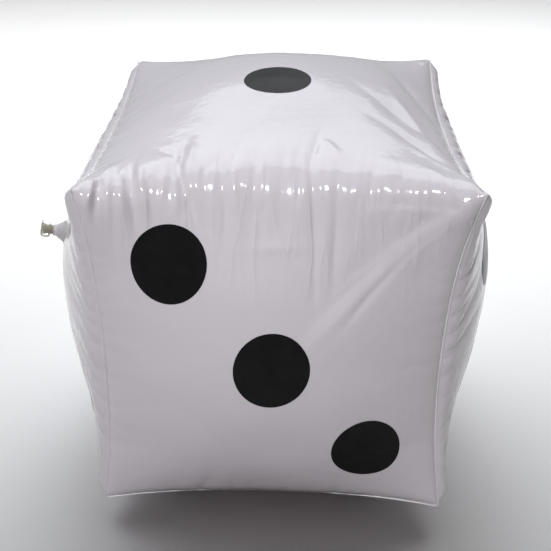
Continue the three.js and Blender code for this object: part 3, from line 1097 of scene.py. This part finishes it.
@dataclass
class FilmPiece:
    """A strip of one or two film squares in a row, blown up, creased and given its thickness."""

    name: str
    faces: tuple
    shape: BlownShape
    columns: int = 200
    rows: int = 100
    row_bunching: float = 0.4
    film: float = 0.3 * MM
    inset: float = 0.0006
    fold_radius: float = 36 * MM
    fold_reach: float = 0.34
    fold_end_power: int = 9
    edge_calm: float = 7 * MM
    calm_spot: tuple | None = None
    calm_radius: float = 30 * MM
    u: np.ndarray = field(init=False, repr=False)
    s: np.ndarray = field(init=False, repr=False)
    blown: np.ndarray = field(init=False, repr=False)
    normals: np.ndarray = field(init=False, repr=False)

    def flat(self) -> bpy.types.Object:
        """Lays out the flat film as a grid, two units for each square.

        Returns:
            The flat sheet.
        """
        deselect_all()
        columns, rows = self.columns, self.rows * len(self.faces)
        if len(self.faces) == 1:
            columns = rows = round(math.sqrt(self.columns * self.rows * 2))
        bpy.ops.mesh.primitive_grid_add(x_subdivisions=columns, y_subdivisions=rows, size=2)
        return new_piece(self.name)

    def split(self, s: np.ndarray) -> list[tuple]:
        """Which rows lie on which square, with their shares along it.

        Args:
            s: Shares along the strip, one for each row.

        Returns:
            For each square: its face, its rows and its shares.
        """
        if len(self.faces) == 1:
            return [(self.faces[0], slice(0, len(s)), s)]
        fold = int(np.searchsorted(s, -1e-6))
        first, second = self.faces
        return [(first, slice(0, fold), s[:fold] + 1), (second, slice(fold, len(s)), s[fold:] - 1)]

    def relax_fold(self, points: np.ndarray, u: np.ndarray, s: np.ndarray) -> np.ndarray:
        """Rounds the fold between two squares, but not its two ends.

        Args:
            points: The blown-up grid, which is changed.
            u: Shares across the strip, one for each column.
            s: Shares along the strip, one for each row.

        Returns:
            The same grid.
        """
        cell = self.shape.half * float(np.diff(s).min())
        rounds = int(2 * (self.fold_radius / cell) ** 2)
        ends = 1 - np.abs(u[None, :]) ** self.fold_end_power
        near = np.exp(-((s[:, None] / self.fold_reach) ** 2)) * ends
        for _ in range(rounds):
            middle = (points[:-2] + points[2:]) / 2 - points[1:-1]
            points[1:-1] += 0.5 * near[1:-1, :, None] * middle
        return points

    def surface_normals(self, points: np.ndarray) -> np.ndarray:
        """Outward normals of a grid of points."""
        return unit(np.cross(np.gradient(points, axis=1), np.gradient(points, axis=0)))

    def heights(self, points: np.ndarray, u: np.ndarray, s: np.ndarray) -> np.ndarray:
        """How far creases and slack move the film along its normals.

        Args:
            points: The blown-up grid.
            u: Shares across the strip, one for each column.
            s: Shares along the strip, one for each row.

        Returns:
            Metres for each point of the grid.
        """
        grid_u, grid_s = np.meshgrid(u, s)
        half = self.shape.half
        total = np.zeros_like(grid_u)
        calm = np.ones_like(grid_u)
        puckers = SeamPuckers()
        for face, rows, v in self.split(s):
            here_u, here_v = np.meshgrid(u, v)
            for edge in edges_of(face):
                if edge.other in self.faces:
                    continue
                total[rows] += puckers.height(edge, self.shape, here_u, here_v)
                gap = edge.measure(here_u, here_v, half)[1]
                calm[rows] *= 1 - np.exp(-gap / self.edge_calm)
        slack = LooseFilm().height(points)
        if self.faces == (Face.FRONT, Face.TOP):
            slack = slack + FoldPuckers().height(grid_u, grid_s, half)
            for crease in fold_creases():
                slack = slack + crease.lift(grid_u, grid_s, half)
        total = np.sqrt(calm) * total + calm * slack
        if self.calm_spot is not None:
            du = (grid_u - self.calm_spot[0]) * half / self.calm_radius
            dv = (grid_s - self.calm_spot[1]) * half / self.calm_radius
            total *= 1 - np.exp(-((du * du + dv * dv) ** 2))
        return total

    def build(self) -> bpy.types.Object:
        """Blows the flat film up and gives it creases.

        Returns:
            The creased sheet.
        """
        piece = self.flat()
        flat = points_of(piece)
        order = np.lexsort((np.round(flat[:, 0], 6), np.round(flat[:, 1], 6)))
        columns = len(np.unique(np.round(flat[:, 0], 6)))
        grid = order.reshape(-1, columns)
        limit = 1 - self.inset
        self.u = np.clip(flat[grid[0], 0], -limit, limit)
        squares = len(self.faces)
        rows = flat[grid[:, 0], 1] * squares
        if squares == 2:
            rows = rows * (1 - self.row_bunching * (1 - np.abs(rows) / squares))
        self.s = np.clip(rows, -squares + self.inset, squares - self.inset)
        blown = np.empty(grid.shape + (3,))
        for face, rows, v in self.split(self.s):
            blown[rows] = self.shape.points(face, *np.meshgrid(self.u, v))
        if squares == 2:
            blown = self.relax_fold(blown, self.u, self.s)
        normals = self.surface_normals(blown)
        blown += self.heights(blown, self.u, self.s)[..., None] * normals
        blown[..., 2] = np.maximum(blown[..., 2], 0)
        self.blown = blown
        self.normals = self.surface_normals(blown)
        flat[grid.ravel()] = blown.reshape(-1, 3)
        put_points(piece, flat)
        return piece

    def thicken(self, piece: bpy.types.Object) -> None:
        """Turns the sheet into film with an inner skin."""
        apply_modifier(piece, "SOLIDIFY", thickness=self.film, offset=-1.0, use_rim=True)
        smooth_shade(piece, 50)

    def sample(self, u: np.ndarray, s: np.ndarray) -> tuple:
        """Places and normals on the finished film.

        Args:
            u: Shares across the strip.
            s: Shares along the strip.

        Returns:
            The points and the normals there.
        """
        column = np.interp(u, self.u, np.arange(len(self.u)))
        row = np.interp(s, self.s, np.arange(len(self.s)))
        i = np.clip(row.astype(int), 0, len(self.s) - 2)
        j = np.clip(column.astype(int), 0, len(self.u) - 2)
        a, b = (row - i)[:, None], (column - j)[:, None]
        points, normals = (
            between(a, between(b, g[i, j], g[i, j + 1]), between(b, g[i + 1, j], g[i + 1, j + 1]))
            for g in (self.blown, self.normals)
        )
        return points, unit(normals)

    def along(self, face: Face, v: np.ndarray) -> np.ndarray:
        """Shares along the strip for shares along one of its squares.

        Args:
            face: Which of the strip's squares.
            v: Shares along the square.

        Returns:
            Shares along the strip.
        """
        if len(self.faces) == 1:
            return v
        return v - 1 if face == self.faces[0] else v + 1


@dataclass
class Envelope:
    """The film pieces and the welded fins that join them."""

    shape: BlownShape
    valve_spot: tuple
    valve_frame: Matrix
    hole_radius: float = 17.15 * MM
    hole_depth: float = 0.03
    rim_reach: float = 1.5
    fin_start: float = -0.6 * MM
    fin_width: float = 2.8 * MM
    fin_thickness: float = 0.8 * MM
    fin_rounding: float = 0.12 * MM
    fin_clearance: float = 0.2 * MM
    fin_turn: int = 24
    fin_steps: int = 150
    fin_waves: tuple = ((190, 0.0, 0.35), (77, 1.0, 0.5))
    fin_lean: float = 0.7
    cross_reach: float = 0.985
    films: dict = field(default_factory=dict)

    def build(self, film: bpy.types.Material, weld: bpy.types.Material) -> None:
        """Makes the four film pieces and the four fins.

        Args:
            film: The film's material.
            weld: The fins' material.
        """
        strips = [
            ("film_front_top", (Face.FRONT, Face.TOP), "wrap_front_top"),
            ("film_back_bottom", (Face.BACK, Face.BOTTOM), "wrap_back_bottom"),
            ("film_left", (Face.LEFT,), "side_panel_left"),
            ("film_right", (Face.RIGHT,), "side_panel_right"),
        ]
        for name, faces, node in strips:
            spot = self.valve_spot if faces == (Face.LEFT,) else None
            strip = FilmPiece(name, faces, self.shape, calm_spot=spot)
            piece = strip.build()
            if spot is not None:
                self.cut_valve_hole(piece)
            strip.thicken(piece)
            for face in faces:
                self.films[face] = strip
            finish_piece(piece, film, "film", node)
            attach(piece, "envelope")
        self.build_fins(weld)

    def valve_places(self, piece: bpy.types.Object) -> tuple:
        """Where a piece's vertices are round the valve.

        Args:
            piece: The piece of film with the valve.

        Returns:
            Their places in the valve's frame, and how far they are from its axis, which
            is endless for those that are too far along it.
        """
        local = moved(points_of(piece), self.valve_frame.inverted())
        radius = np.hypot(local[:, 0], local[:, 2])
        radius[np.abs(local[:, 1]) >= self.hole_depth] = np.inf
        return local, radius

    def cut_valve_hole(self, piece: bpy.types.Object) -> None:
        """Removes the film inside the valve's foot and rounds the hole.

        Args:
            piece: The left panel.
        """
        select_parts(piece, "vertices", self.valve_places(piece)[1] < self.hole_radius)
        with editing(piece, ""):
            bpy.ops.mesh.delete(type="VERT")
        local, radius = self.valve_places(piece)
        rim = self.open_vertices(piece) & (radius < self.rim_reach * self.hole_radius)
        scale = self.hole_radius / radius[rim]
        local[rim, 0] *= scale
        local[rim, 2] *= scale
        points = points_of(piece)
        points[rim] = moved(local[rim], self.valve_frame)
        put_points(piece, points)

    @staticmethod
    def open_vertices(piece: bpy.types.Object) -> np.ndarray:
        """Marks the vertices on the sheet's open edges.

        Args:
            piece: A sheet.

        Returns:
            True for each vertex on an open edge.
        """
        mesh = piece.data
        used = np.zeros(len(mesh.edges), int)
        loops = np.empty(len(mesh.loops), int)
        mesh.loops.foreach_get("edge_index", loops)
        np.add.at(used, loops, 1)
        ends = np.empty(len(mesh.edges) * 2, int)
        mesh.edges.foreach_get("vertices", ends)
        marked = np.zeros(len(mesh.vertices), bool)
        marked[ends.reshape(-1, 2)[used == 1].ravel()] = True
        return marked

    def ribbon(self, name: str, steps: int, path: Callable, loop: bool) -> bpy.types.Object:
        """A flat ribbon laid along a seam.

        Args:
            name: The piece's name.
            steps: How many steps it has along the seam.
            path: Gives roots, outward and sideways directions for shares from 0 to 1.
            loop: Whether its ends meet.

        Returns:
            The fin as a closed body.
        """
        deselect_all()
        bpy.ops.mesh.primitive_grid_add(x_subdivisions=steps, y_subdivisions=4, size=2)
        piece = new_piece(name)
        flat = points_of(piece)
        share = (flat[:, 0] + 1) / 2
        roots, outwards, sideways = path(share)
        reach = self.fin_start + (flat[:, 1] + 1) / 2 * self.fin_width
        wave = sum(np.sin(share * turns + start) * size for turns, start, size in self.fin_waves)
        lean = wave * (reach / self.fin_width) ** 2 * self.fin_lean * MM
        put_points(piece, roots + outwards * reach[:, None] + sideways * lean[:, None])
        if loop:
            with editing(piece):
                bpy.ops.mesh.remove_doubles(threshold=1e-5)
        thickness, rounding = self.fin_thickness, self.fin_rounding
        apply_modifier(piece, "SOLIDIFY", thickness=thickness, offset=0.0, use_rim=True)
        apply_modifier(piece, "BEVEL", width=rounding, segments=2, limit_method="ANGLE")
        clean_mesh(piece, 1e-6)
        smooth_shade(piece, 40)
        return piece

    def round_side(self, face: Face) -> Callable:
        """The path of the seam round a side panel.

        Args:
            face: The side panel's face.

        Returns:
            The path.
        """
        corners = np.array([[-1, -1], [1, -1], [1, 1], [-1, 1], [-1, -1]], float)

        def path(share: np.ndarray) -> tuple:
            """Roots and directions at shares of the way round.

            Args:
                share: Shares of the way, from 0 to 1.

            Returns:
                The roots, the outward and the sideways directions.
            """
            at = np.clip(share * 4, 0, 4)
            u = np.interp(at, range(5), corners[:, 0])
            v = np.interp(at, range(5), corners[:, 1])
            turned_u = np.sign(u) * np.abs(u) ** self.fin_turn
            turned_v = np.sign(v) * np.abs(v) ** self.fin_turn
            outwards = face.outward + turned_u[:, None] * face.across
            outwards = unit(outwards + turned_v[:, None] * face.along)
            sideways = -face.outward + outwards * (outwards @ face.outward)[:, None]
            return self.shape.points(face, u, v), outwards, unit(sideways)

        return path

    def across_wraps(self, face: Face) -> Callable:
        """The path of the seam at the far edge of a face.

        Args:
            face: The face whose far edge has the seam.

        Returns:
            The path.
        """
        outwards = unit(face.outward + face.along)
        sideways = unit(face.outward - face.along)

        def path(share: np.ndarray) -> tuple:
            """Roots and directions at shares of the way across.

            Args:
                share: Shares of the way, from 0 to 1.

            Returns:
                The roots, the outward and the sideways directions.
            """
            u = (2 * share - 1) * self.cross_reach
            many = (len(u), 3)
            roots = self.shape.points(face, u, np.ones_like(u))
            return roots, np.broadcast_to(outwards, many), np.broadcast_to(sideways, many)

        return path

    def build_fins(self, weld: bpy.types.Material) -> None:
        """Makes the fins along all seams.

        Args:
            weld: The fins' material.
        """
        fins = [
            ("fin_left", self.round_side(Face.LEFT), True, "weld_left_loop"),
            ("fin_right", self.round_side(Face.RIGHT), True, "weld_right_loop"),
            ("fin_top_back", self.across_wraps(Face.TOP), False, "weld_top_back"),
            ("fin_bottom_front", self.across_wraps(Face.BOTTOM), False, "weld_bottom_front"),
        ]
        for name, path, loop, node in fins:
            steps = self.fin_steps * (4 if loop else 1)
            piece = self.ribbon(name, steps, path, loop)
            points = points_of(piece)
            points[:, 2] = np.maximum(points[:, 2], self.fin_clearance)
            put_points(piece, points)
            finish_piece(piece, weld, "weld", node)
            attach(piece, "envelope")


@dataclass
class Print:
    """The 21 printed pips."""

    envelope: Envelope
    radius: float = 51.5 * MM
    top_radius: float = 47.0 * MM
    wide: float = 0.547
    close: float = 0.41
    right_drop: float = 0.05
    lift: float = 0.35 * MM
    ink: float = 0.08 * MM
    segments: int = 96
    rings: int = 16

    def patterns(self) -> list[tuple]:
        """Each face's part name, face and pip places.

        Returns:
            The name, the face and the places for each face.
        """
        w, n, drop = self.wide, self.close, self.right_drop
        five = [(-n, -n), (n, -n), (0, 0), (-n, n), (n, n)]
        return [
            ("front_three", Face.FRONT, [(-w, w), (0, 0), (w, -w)]),
            ("top_one", Face.TOP, [(0, 0)]),
            ("back_four", Face.BACK, [(-n, -n), (n, -n), (-n, n), (n, n)]),
            ("bottom_six", Face.BOTTOM, [(-w, -w), (w, -w), (-w, 0), (w, 0), (-w, w), (w, w)]),
            ("left_two", Face.LEFT, [(-w, w), (w, -w)]),
            ("right_five", Face.RIGHT, [(u, v - drop) for u, v in five]),
        ]

    def flat_disc(self) -> bpy.types.Object:
        """A flat round patch of unit radius, inset again and again into rings.

        Returns:
            The disc.
        """
        deselect_all()
        bpy.ops.mesh.primitive_circle_add(vertices=self.segments, radius=1, fill_type="NGON")
        disc = new_piece("pip_flat")
        with editing(disc):
            for _ in range(self.rings):
                bpy.ops.mesh.inset(thickness=1 / (self.rings + 1))
            bpy.ops.mesh.poke()
        return disc

    def build(self, ink: bpy.types.Material) -> None:
        """Lays a copy of the patch on the film at each pip's place.

        Args:
            ink: The ink's material.
        """
        disc = self.flat_disc()
        flat = points_of(disc)
        half = self.envelope.shape.half
        for pattern, face, places in self.patterns():
            strip = self.envelope.films[face]
            radius = self.top_radius if face == Face.TOP else self.radius
            for number, (u, v) in enumerate(places, 1):
                here_u = u + flat[:, 0] * radius / half
                here_v = v + flat[:, 1] * radius / half
                points, normals = strip.sample(here_u, strip.along(face, here_v))
                piece = add_object(f"ink_{pattern}_{number}", disc.data.copy())
                put_points(piece, points + normals * (self.lift + self.ink))
                apply_modifier(piece, "SOLIDIFY", thickness=self.ink, offset=-1.0, use_rim=True)
                smooth_shade(piece, 60)
                finish_piece(piece, ink, "ink", f"pip_{pattern}_{number}")
                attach(piece, "envelope")
        bpy.data.objects.remove(disc)


# The valve.


@dataclass
class Valve:
    """The oral valve. Heights run outwards from the film along its axis, local +Y."""

    shape: BlownShape
    spot: tuple = (0.30, 0.44)
    steps: int = 64
    bore: float = 4.2
    stem: float = 6.2
    stem_inner: float = 6.0
    stem_outer: float = 30.0
    lip: float = 7.4
    neck_end: float = 16.0
    plug: float = 3.8
    plug_tip: float = 18.0
    cap: float = 8.2
    cap_thickness: float = 3.0
    tab_reach: float = 12.5
    tab_width: float = 6.0
    tab_thickness: float = 1.5
    tab_rounding: float = 2.6
    arm_width: float = 3.6
    arm_waist: float = 0.18
    arm_thickness: float = 1.1
    ring_start: float = 20.0
    ring_end: float = 22.5
    ring: float = 8.2
    flap: float = 5.9
    flap_bottom: float = 5.0
    gap: float = 0.4

    @property
    def frame(self) -> Matrix:
        """The valve's place: local +Y follows the film's normal and local +X leans up.

        Returns:
            The frame's matrix.
        """
        u, v = self.spot
        axis = self.shape.normals(Face.LEFT, u, v)
        side = unit(np.cross(axis, (0, 0, 1)))
        up = unit(np.cross(side, axis))
        return frame_at(up, axis, np.cross(up, axis), self.shape.points(Face.LEFT, u, v))

    def at(self, x: float, y: float, z: float = 0.0) -> tuple:
        """A place in the valve's own millimetres, in the part's frame."""
        return tuple(self.frame @ Matrix.Translation((x * MM, y * MM, z * MM)).translation)

    def turned(self, name: str, outline: list[tuple], bevel: float) -> bpy.types.Object:
        """A body spun round the valve's axis.

        Args:
            name: The piece's name.
            outline: Its section as radius and height, in millimetres, all the way round.
            bevel: How far its sharp edges are rounded, in millimetres.

        Returns:
            The body in the valve's own frame.
        """
        deselect_all()
        bpy.ops.mesh.primitive_circle_add(vertices=len(outline), radius=1)
        piece = new_piece(name)
        section = np.array([(r, h, 0.0) for r, h in outline]) * MM
        put_points(piece, section)
        turn = {"angle": 2 * math.pi, "center": (0, 0, 0), "axis": (0, 1, 0)}
        with editing(piece):
            bpy.ops.mesh.spin(steps=self.steps, **turn)
        clean_mesh(piece, 1e-6)
        if bevel:
            self.round_edges(piece, bevel)
        return piece

    def round_edges(self, piece: bpy.types.Object, bevel: float) -> None:
        """Rounds the sharp edges of a piece."""
        sharp = {"limit_method": "ANGLE", "angle_limit": math.radians(28)}
        apply_modifier(piece, "BEVEL", width=bevel * MM, segments=3, **sharp)

    def place(self, piece: bpy.types.Object) -> None:
        """Puts a piece from the valve's frame into the part's frame.

        Args:
            piece: The piece.
        """
        piece.data.transform(self.frame)
        piece.data.update()
        smooth_shade(piece, 45)

    def flange(self) -> bpy.types.Object:
        """The ring welded under the film, with pressed ribs.

        Returns:
            The flange.
        """
        outline = [(12, -2.8), (21, -2.8), (21, -2.0)]
        for radius in (19.5, 18, 16.5, 15, 13.5):
            outline += [(radius + 0.45, -2.0), (radius, -2.18), (radius - 0.45, -2.0)]
        return self.turned("valve_ring_weld", outline + [(12, -2.0)], 0.0)

    def cone(self) -> bpy.types.Object:
        """The soft cone between the film and the stem, with a rolled foot and two bend rings.

        Returns:
            The cone.
        """
        neck = self.stem + self.gap
        outline = [
            (12.5, -1.7), (16.2, -1.7), (16.9, -1.3), (17.0, -0.5), (16.6, 0.1),
            (15.9, 0.6), (14.9, 1.5), (13.6, 3.2), (12.2, 5.4), (11.3, 7.0), (10.6, 8.0),
            (9.6, 9.2), (8.7, 10.6), (8.1, 12.0), (7.8, 13.4), (7.7, self.neck_end - 0.4),
            (7.3, self.neck_end), (neck, self.neck_end), (neck, 12.0), (7.2, 10.4),
            (8.4, 8.6), (10.0, 7.0), (11.1, 5.2), (12.5, 2.9), (13.6, 1.2), (14.2, -0.6),
            (12.5, -0.9),
        ]
        return self.turned("valve_soft_cone", outline, 0.0)

    def tube(self) -> bpy.types.Object:
        """The stem: a tube with a lip, a bead where the cone ends and a flared mouth.

        Returns:
            The tube.
        """
        outer, inner = self.stem, self.bore
        end = self.stem_outer
        outline = [
            (inner, self.stem_inner), (outer - 0.3, self.stem_inner),
            (outer, self.stem_inner + 0.4), (outer, 16.6), (outer + 0.25, 17.0),
            (outer + 0.25, 18.2), (outer, 18.6), (outer, end - 4.0), (outer + 0.5, end - 3.2),
            (self.lip, end - 2.5), (self.lip, end - 0.5), (self.lip - 0.5, end),
            (inner + 0.5, end), (inner, end - 0.6),
        ]
        return self.turned("valve_tube", outline, 0.0)

    def stopper(self) -> bpy.types.Object:
        """The stopper: shank with a sealing ridge, domed cap and a pull tab.

        Returns:
            The stopper.
        """
        bottom = self.stem_outer + self.gap
        top = bottom + self.cap_thickness
        r = self.plug
        outline = [
            (0, self.plug_tip), (r - 0.9, self.plug_tip), (r - 0.5, self.plug_tip + 0.4),
            (r - 0.1, self.plug_tip + 1.6), (r + 0.1, 24.0), (r + 0.25, 24.6), (r + 0.25, 25.4),
            (r, 26.0), (r, bottom - 0.3), (r + 0.4, bottom), (self.cap - 0.5, bottom),
            (self.cap, bottom + 0.5), (self.cap, top - 1.1), (self.cap - 0.35, top - 0.45),
            (self.cap - 1.1, top - 0.05), (6.0, top), (5.6, top - 0.35), (0, top - 0.45),
        ]
        piece = self.turned("valve_stopper", outline, 0.0)
        deselect_all()
        bpy.ops.mesh.primitive_cube_add(size=1, location=(0, 0, 0))
        tab = new_piece("valve_stopper_tab")
        points = points_of(tab)
        points[:, 0] = np.where(points[:, 0] > 0, self.tab_reach, self.cap / 2) * MM
        thick = np.sign(points[:, 1]) * self.tab_thickness / 2
        points[:, 1] = ((bottom + top) / 2 + thick) * MM
        points[:, 2] = np.sign(points[:, 2]) * self.tab_width / 2 * MM
        put_points(tab, points)
        self.round_corner_edges(tab)
        apply_modifier(piece, "BOOLEAN", object=tab, operation="UNION", solver="MANIFOLD")
        bpy.data.objects.remove(tab)
        self.round_edges(piece, 0.12)
        return piece

    def round_corner_edges(self, tab: bpy.types.Object) -> None:
        """Rounds the tab's free end in plan.

        Args:
            tab: The tab.
        """
        near = 1e-5
        far = self.tab_reach * MM - near
        wanted = []
        for edge in tab.data.edges:
            ends = [tab.data.vertices[i].co for i in edge.vertices]
            upright = abs(ends[0].y - ends[1].y) > near
            wanted.append(upright and all(end.x > far for end in ends))
        select_parts(tab, "edges", np.array(wanted))
        with editing(tab, ""):
            bpy.ops.mesh.select_mode(type="EDGE")
            bpy.ops.mesh.bevel(offset=self.tab_rounding * MM, segments=8, affect="EDGES")

    def strap(self) -> bpy.types.Object:
        """The strap that keeps the stopper: a ring round the stem and an arched arm.

        Returns:
            The strap.
        """
        inner = self.stem + self.gap
        outline = [
            (inner, self.ring_start), (self.ring - 0.3, self.ring_start),
            (self.ring, self.ring_start + 0.3), (self.ring, self.ring_end - 0.3),
            (self.ring - 0.3, self.ring_end), (inner, self.ring_end),
        ]
        piece = self.turned("valve_strap_ring", outline, 0.0)
        arm = self.strap_arm()
        apply_modifier(piece, "BOOLEAN", object=arm, operation="UNION", solver="MANIFOLD")
        bpy.data.objects.remove(arm)
        self.round_edges(piece, 0.1)
        return piece

    def strap_arm(self) -> bpy.types.Object:
        """The strap's arm, a flat band that arches from the ring to the cap.

        Returns:
            The arm.
        """
        deselect_all()
        bpy.ops.mesh.primitive_grid_add(x_subdivisions=28, y_subdivisions=4, size=2)
        arm = new_piece("valve_strap_arm")
        flat = points_of(arm)
        start = (self.ring_start + self.ring_end) / 2
        end = self.stem_outer + self.gap + self.cap_thickness / 2
        share = (flat[:, 0] + 1) / 2
        knots = [0, 0.25, 0.5, 0.75, 1]
        out = [self.ring - 0.8, self.ring + 2.4, self.ring + 3.8, self.cap + 2.4, self.cap + 0.4]
        heights = [start, start + 0.5, (start + end) / 2, end - 0.5, end]
        curve = np.polyfit(knots, out, 4)
        rise = np.polyfit(knots, heights, 4)
        narrow = 1 - self.arm_waist * np.sin(math.pi * share)
        points = np.empty_like(flat)
        points[:, 0] = -np.polyval(curve, share) * MM
        points[:, 1] = np.polyval(rise, share) * MM
        points[:, 2] = flat[:, 1] * self.arm_width / 2 * narrow * MM
        put_points(arm, points)
        thickness = self.arm_thickness * MM
        apply_modifier(arm, "SOLIDIFY", thickness=thickness, offset=0.0, use_rim=True)
        clean_mesh(arm, 1e-6)
        return arm

    def check_flap(self) -> bpy.types.Object:
        """The thin flap over the stem's inner end, with a raised rim.

        Returns:
            The flap.
        """
        low, high = self.flap_bottom, self.flap_bottom + 0.6
        outline = [
            (0, low), (self.flap - 1.2, low), (self.flap - 1.0, low + 0.12),
            (self.flap - 0.2, low + 0.12), (self.flap, low + 0.3), (self.flap - 0.1, high),
            (self.flap - 1.4, high), (self.flap - 1.6, high - 0.1), (0, high - 0.1),
        ]
        return self.turned("valve_flap", outline, 0.0)

    def build(self, clear: bpy.types.Material, yellowish: bpy.types.Material) -> None:
        """Makes and dresses all pieces of the valve.

        Args:
            clear: The material of flange and cone.
            yellowish: The material of the other pieces.
        """
        rows = [
            (self.flange, clear, "clear_vinyl", "valve_flange", "envelope"),
            (self.cone, clear, "clear_vinyl", "valve_cone", None),
            (self.tube, yellowish, "valve_vinyl", "valve_stem", "stem"),
            (self.strap, yellowish, "valve_vinyl", "valve_strap", None),
            (self.stopper, yellowish, "valve_vinyl", "stopper_plug", "stopper"),
            (self.check_flap, yellowish, "valve_vinyl", "check_flap", "flap"),
        ]
        for make, material, slot, node, body in rows:
            piece = make()
            self.place(piece)
            finish_piece(piece, material, slot, node)
            if body is not None:
                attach(piece, body)
            elif node == "valve_cone":
                self.at(0, 0.5)
                self.at(0, 13)
                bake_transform(piece)
            else:
                self.at(0, 22.6)
                self.at(0, 31.5)
                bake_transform(piece)


# The studio.


@dataclass(frozen=True)
class Lamp:
    """A soft light's size in metres, power in watts, beam in degrees and colour."""

    size: tuple
    watts: float
    beam: float = 180
    tint: tuple = (1.0, 1.0, 1.0)


@dataclass(frozen=True)
class Studio:
    """Camera, soft lights and pale floor."""

    centre_height: float
    camera_place: tuple = (0.0207, -1.2587, 0.7324)
    yaw: float = -1.316
    pitch: float = 30.682
    roll: float = 0.5745
    lens: float = 61.97
    sensor: float = 36
    room_tint: tuple = (1.0, 0.90, 0.87, 1)
    room_strength: float = 0.09
    floor_name: str = "studio_floor"

    def build_camera(self) -> None:
        """Places the camera and makes it the scene's."""
        yaw, pitch, roll = (math.radians(a) for a in (self.yaw, self.pitch, self.roll))
        level = math.cos(pitch)
        ahead = np.array([math.sin(yaw) * level, math.cos(yaw) * level, -math.sin(pitch)])
        right = unit(np.cross(ahead, (0, 0, 1)))
        up = np.cross(right, ahead)
        tilted_right = right * math.cos(roll) + up * math.sin(roll)
        tilted_up = up * math.cos(roll) - right * math.sin(roll)
        x, y, z = self.camera_place
        data = bpy.data.cameras.new("camera")
        data.lens = self.lens
        data.sensor_width = self.sensor
        camera = add_object("camera", data)
        place = (x, y, z + self.centre_height)
        camera.matrix_world = frame_at(tilted_right, tilted_up, -ahead, place)
        bpy.context.scene.camera = camera

    def light(self, name: str, place: tuple, aim: tuple, lamp: Lamp) -> bpy.types.Object:
        """Adds a soft rectangular light.

        Args:
            name: The light's name.
            place: Where it stands.
            aim: The point that it looks at.
            lamp: Its size, power, beam and colour.

        Returns:
            The light.
        """
        data = bpy.data.lights.new(name, "AREA")
        data.shape = "RECTANGLE"
        data.size, data.size_y = lamp.size
        data.energy = lamp.watts
        data.color = lamp.tint
        data.spread = math.radians(lamp.beam)
        stand = add_object(name, data)
        back = unit(np.array(place) - np.array(aim))
        right = unit(np.cross((0, 1e-3, 1), back))
        stand.matrix_world = frame_at(right, np.cross(back, right), back, place)
        return stand

    def light_only(self, stand: bpy.types.Object, floor: bool) -> None:
        """Lets a light fall on the floor alone, or on everything else.

        Args:
            stand: The light.
            floor: Whether it is the floor that is lit.
        """
        lit = bpy.data.collections.new(f"lit_by_{stand.name}")
        for piece in bpy.context.scene.objects:
            if (piece.name == self.floor_name) == floor:
                lit.objects.link(piece)
        stand.light_linking.receiver_collection = lit

    def build_lights(self) -> None:
        """Adds the lights and the dim room."""
        middle = (0, 0, self.centre_height)
        cool, soft = (0.895, 0.952, 1.0), (0.95, 0.955, 1.0)
        overhead, rear = Lamp((3.6, 2.4), 22, 120, cool), Lamp((7.0, 4.2), 36, 180, cool)
        wash, key = Lamp((5.0, 2.2), 40, 86), Lamp((0.32, 0.12), 2.6, 50, soft)
        self.light("overhead_softbox", (-0.3, 1.15, 2.4), middle, overhead)
        self.light("rear_wall", (0.0, 4.2, 1.9), (0, 0, 0.9), rear)
        wash_stand = self.light("floor_wash", (0.0, 1.9, 2.6), (0, 1.6, 0), wash)
        key_stand = self.light("key_softbox", (-0.45, -1.8, 2.1), (0, -0.25, 0.45), key)
        self.light_only(key_stand, floor=False)
        self.light_only(wash_stand, floor=True)
        world = bpy.data.worlds.new("room")
        world.use_nodes = True
        background = world.node_tree.nodes["Background"]
        background.inputs["Color"].default_value = self.room_tint
        background.inputs["Strength"].default_value = self.room_strength
        bpy.context.scene.world = world
        bpy.context.scene.view_settings.view_transform = "Standard"

    def build_floor(self) -> None:
        """Lays the floor, which isn't part of the die."""
        deselect_all()
        bpy.ops.mesh.primitive_plane_add(size=14, location=(0, 2, -0.5 * MM))
        floor = new_piece(self.floor_name)
        floor.data.materials.append(FloorFinish().build())


def main() -> None:
    """Builds the camera, the die and the studio in order."""
    logging.basicConfig(level=logging.INFO, format="%(name)s: %(message)s")
    shape = BlownShape()
    studio = Studio(shape.centre_height)
    studio.build_camera()
    valve = Valve(shape)
    envelope = Envelope(shape, valve.spot, valve.frame)
    envelope.build(FilmFinish().build(), WeldFinish().build())
    Print(envelope).build(InkFinish().build())
    clear = SoftVinylFinish(
        "vinyl_clear", (0.84, 0.80, 0.83, 1), (0.76, 0.72, 0.74, 1), 0.25,
    )
    yellowish = SoftVinylFinish(
        "vinyl_yellowish", (0.74, 0.70, 0.56, 1), (0.58, 0.54, 0.42, 1), 0.55,
    )
    valve.build(clear.build(), yellowish.build())
    studio.build_floor()
    studio.build_lights()


if __name__ == "__main__":
    main()
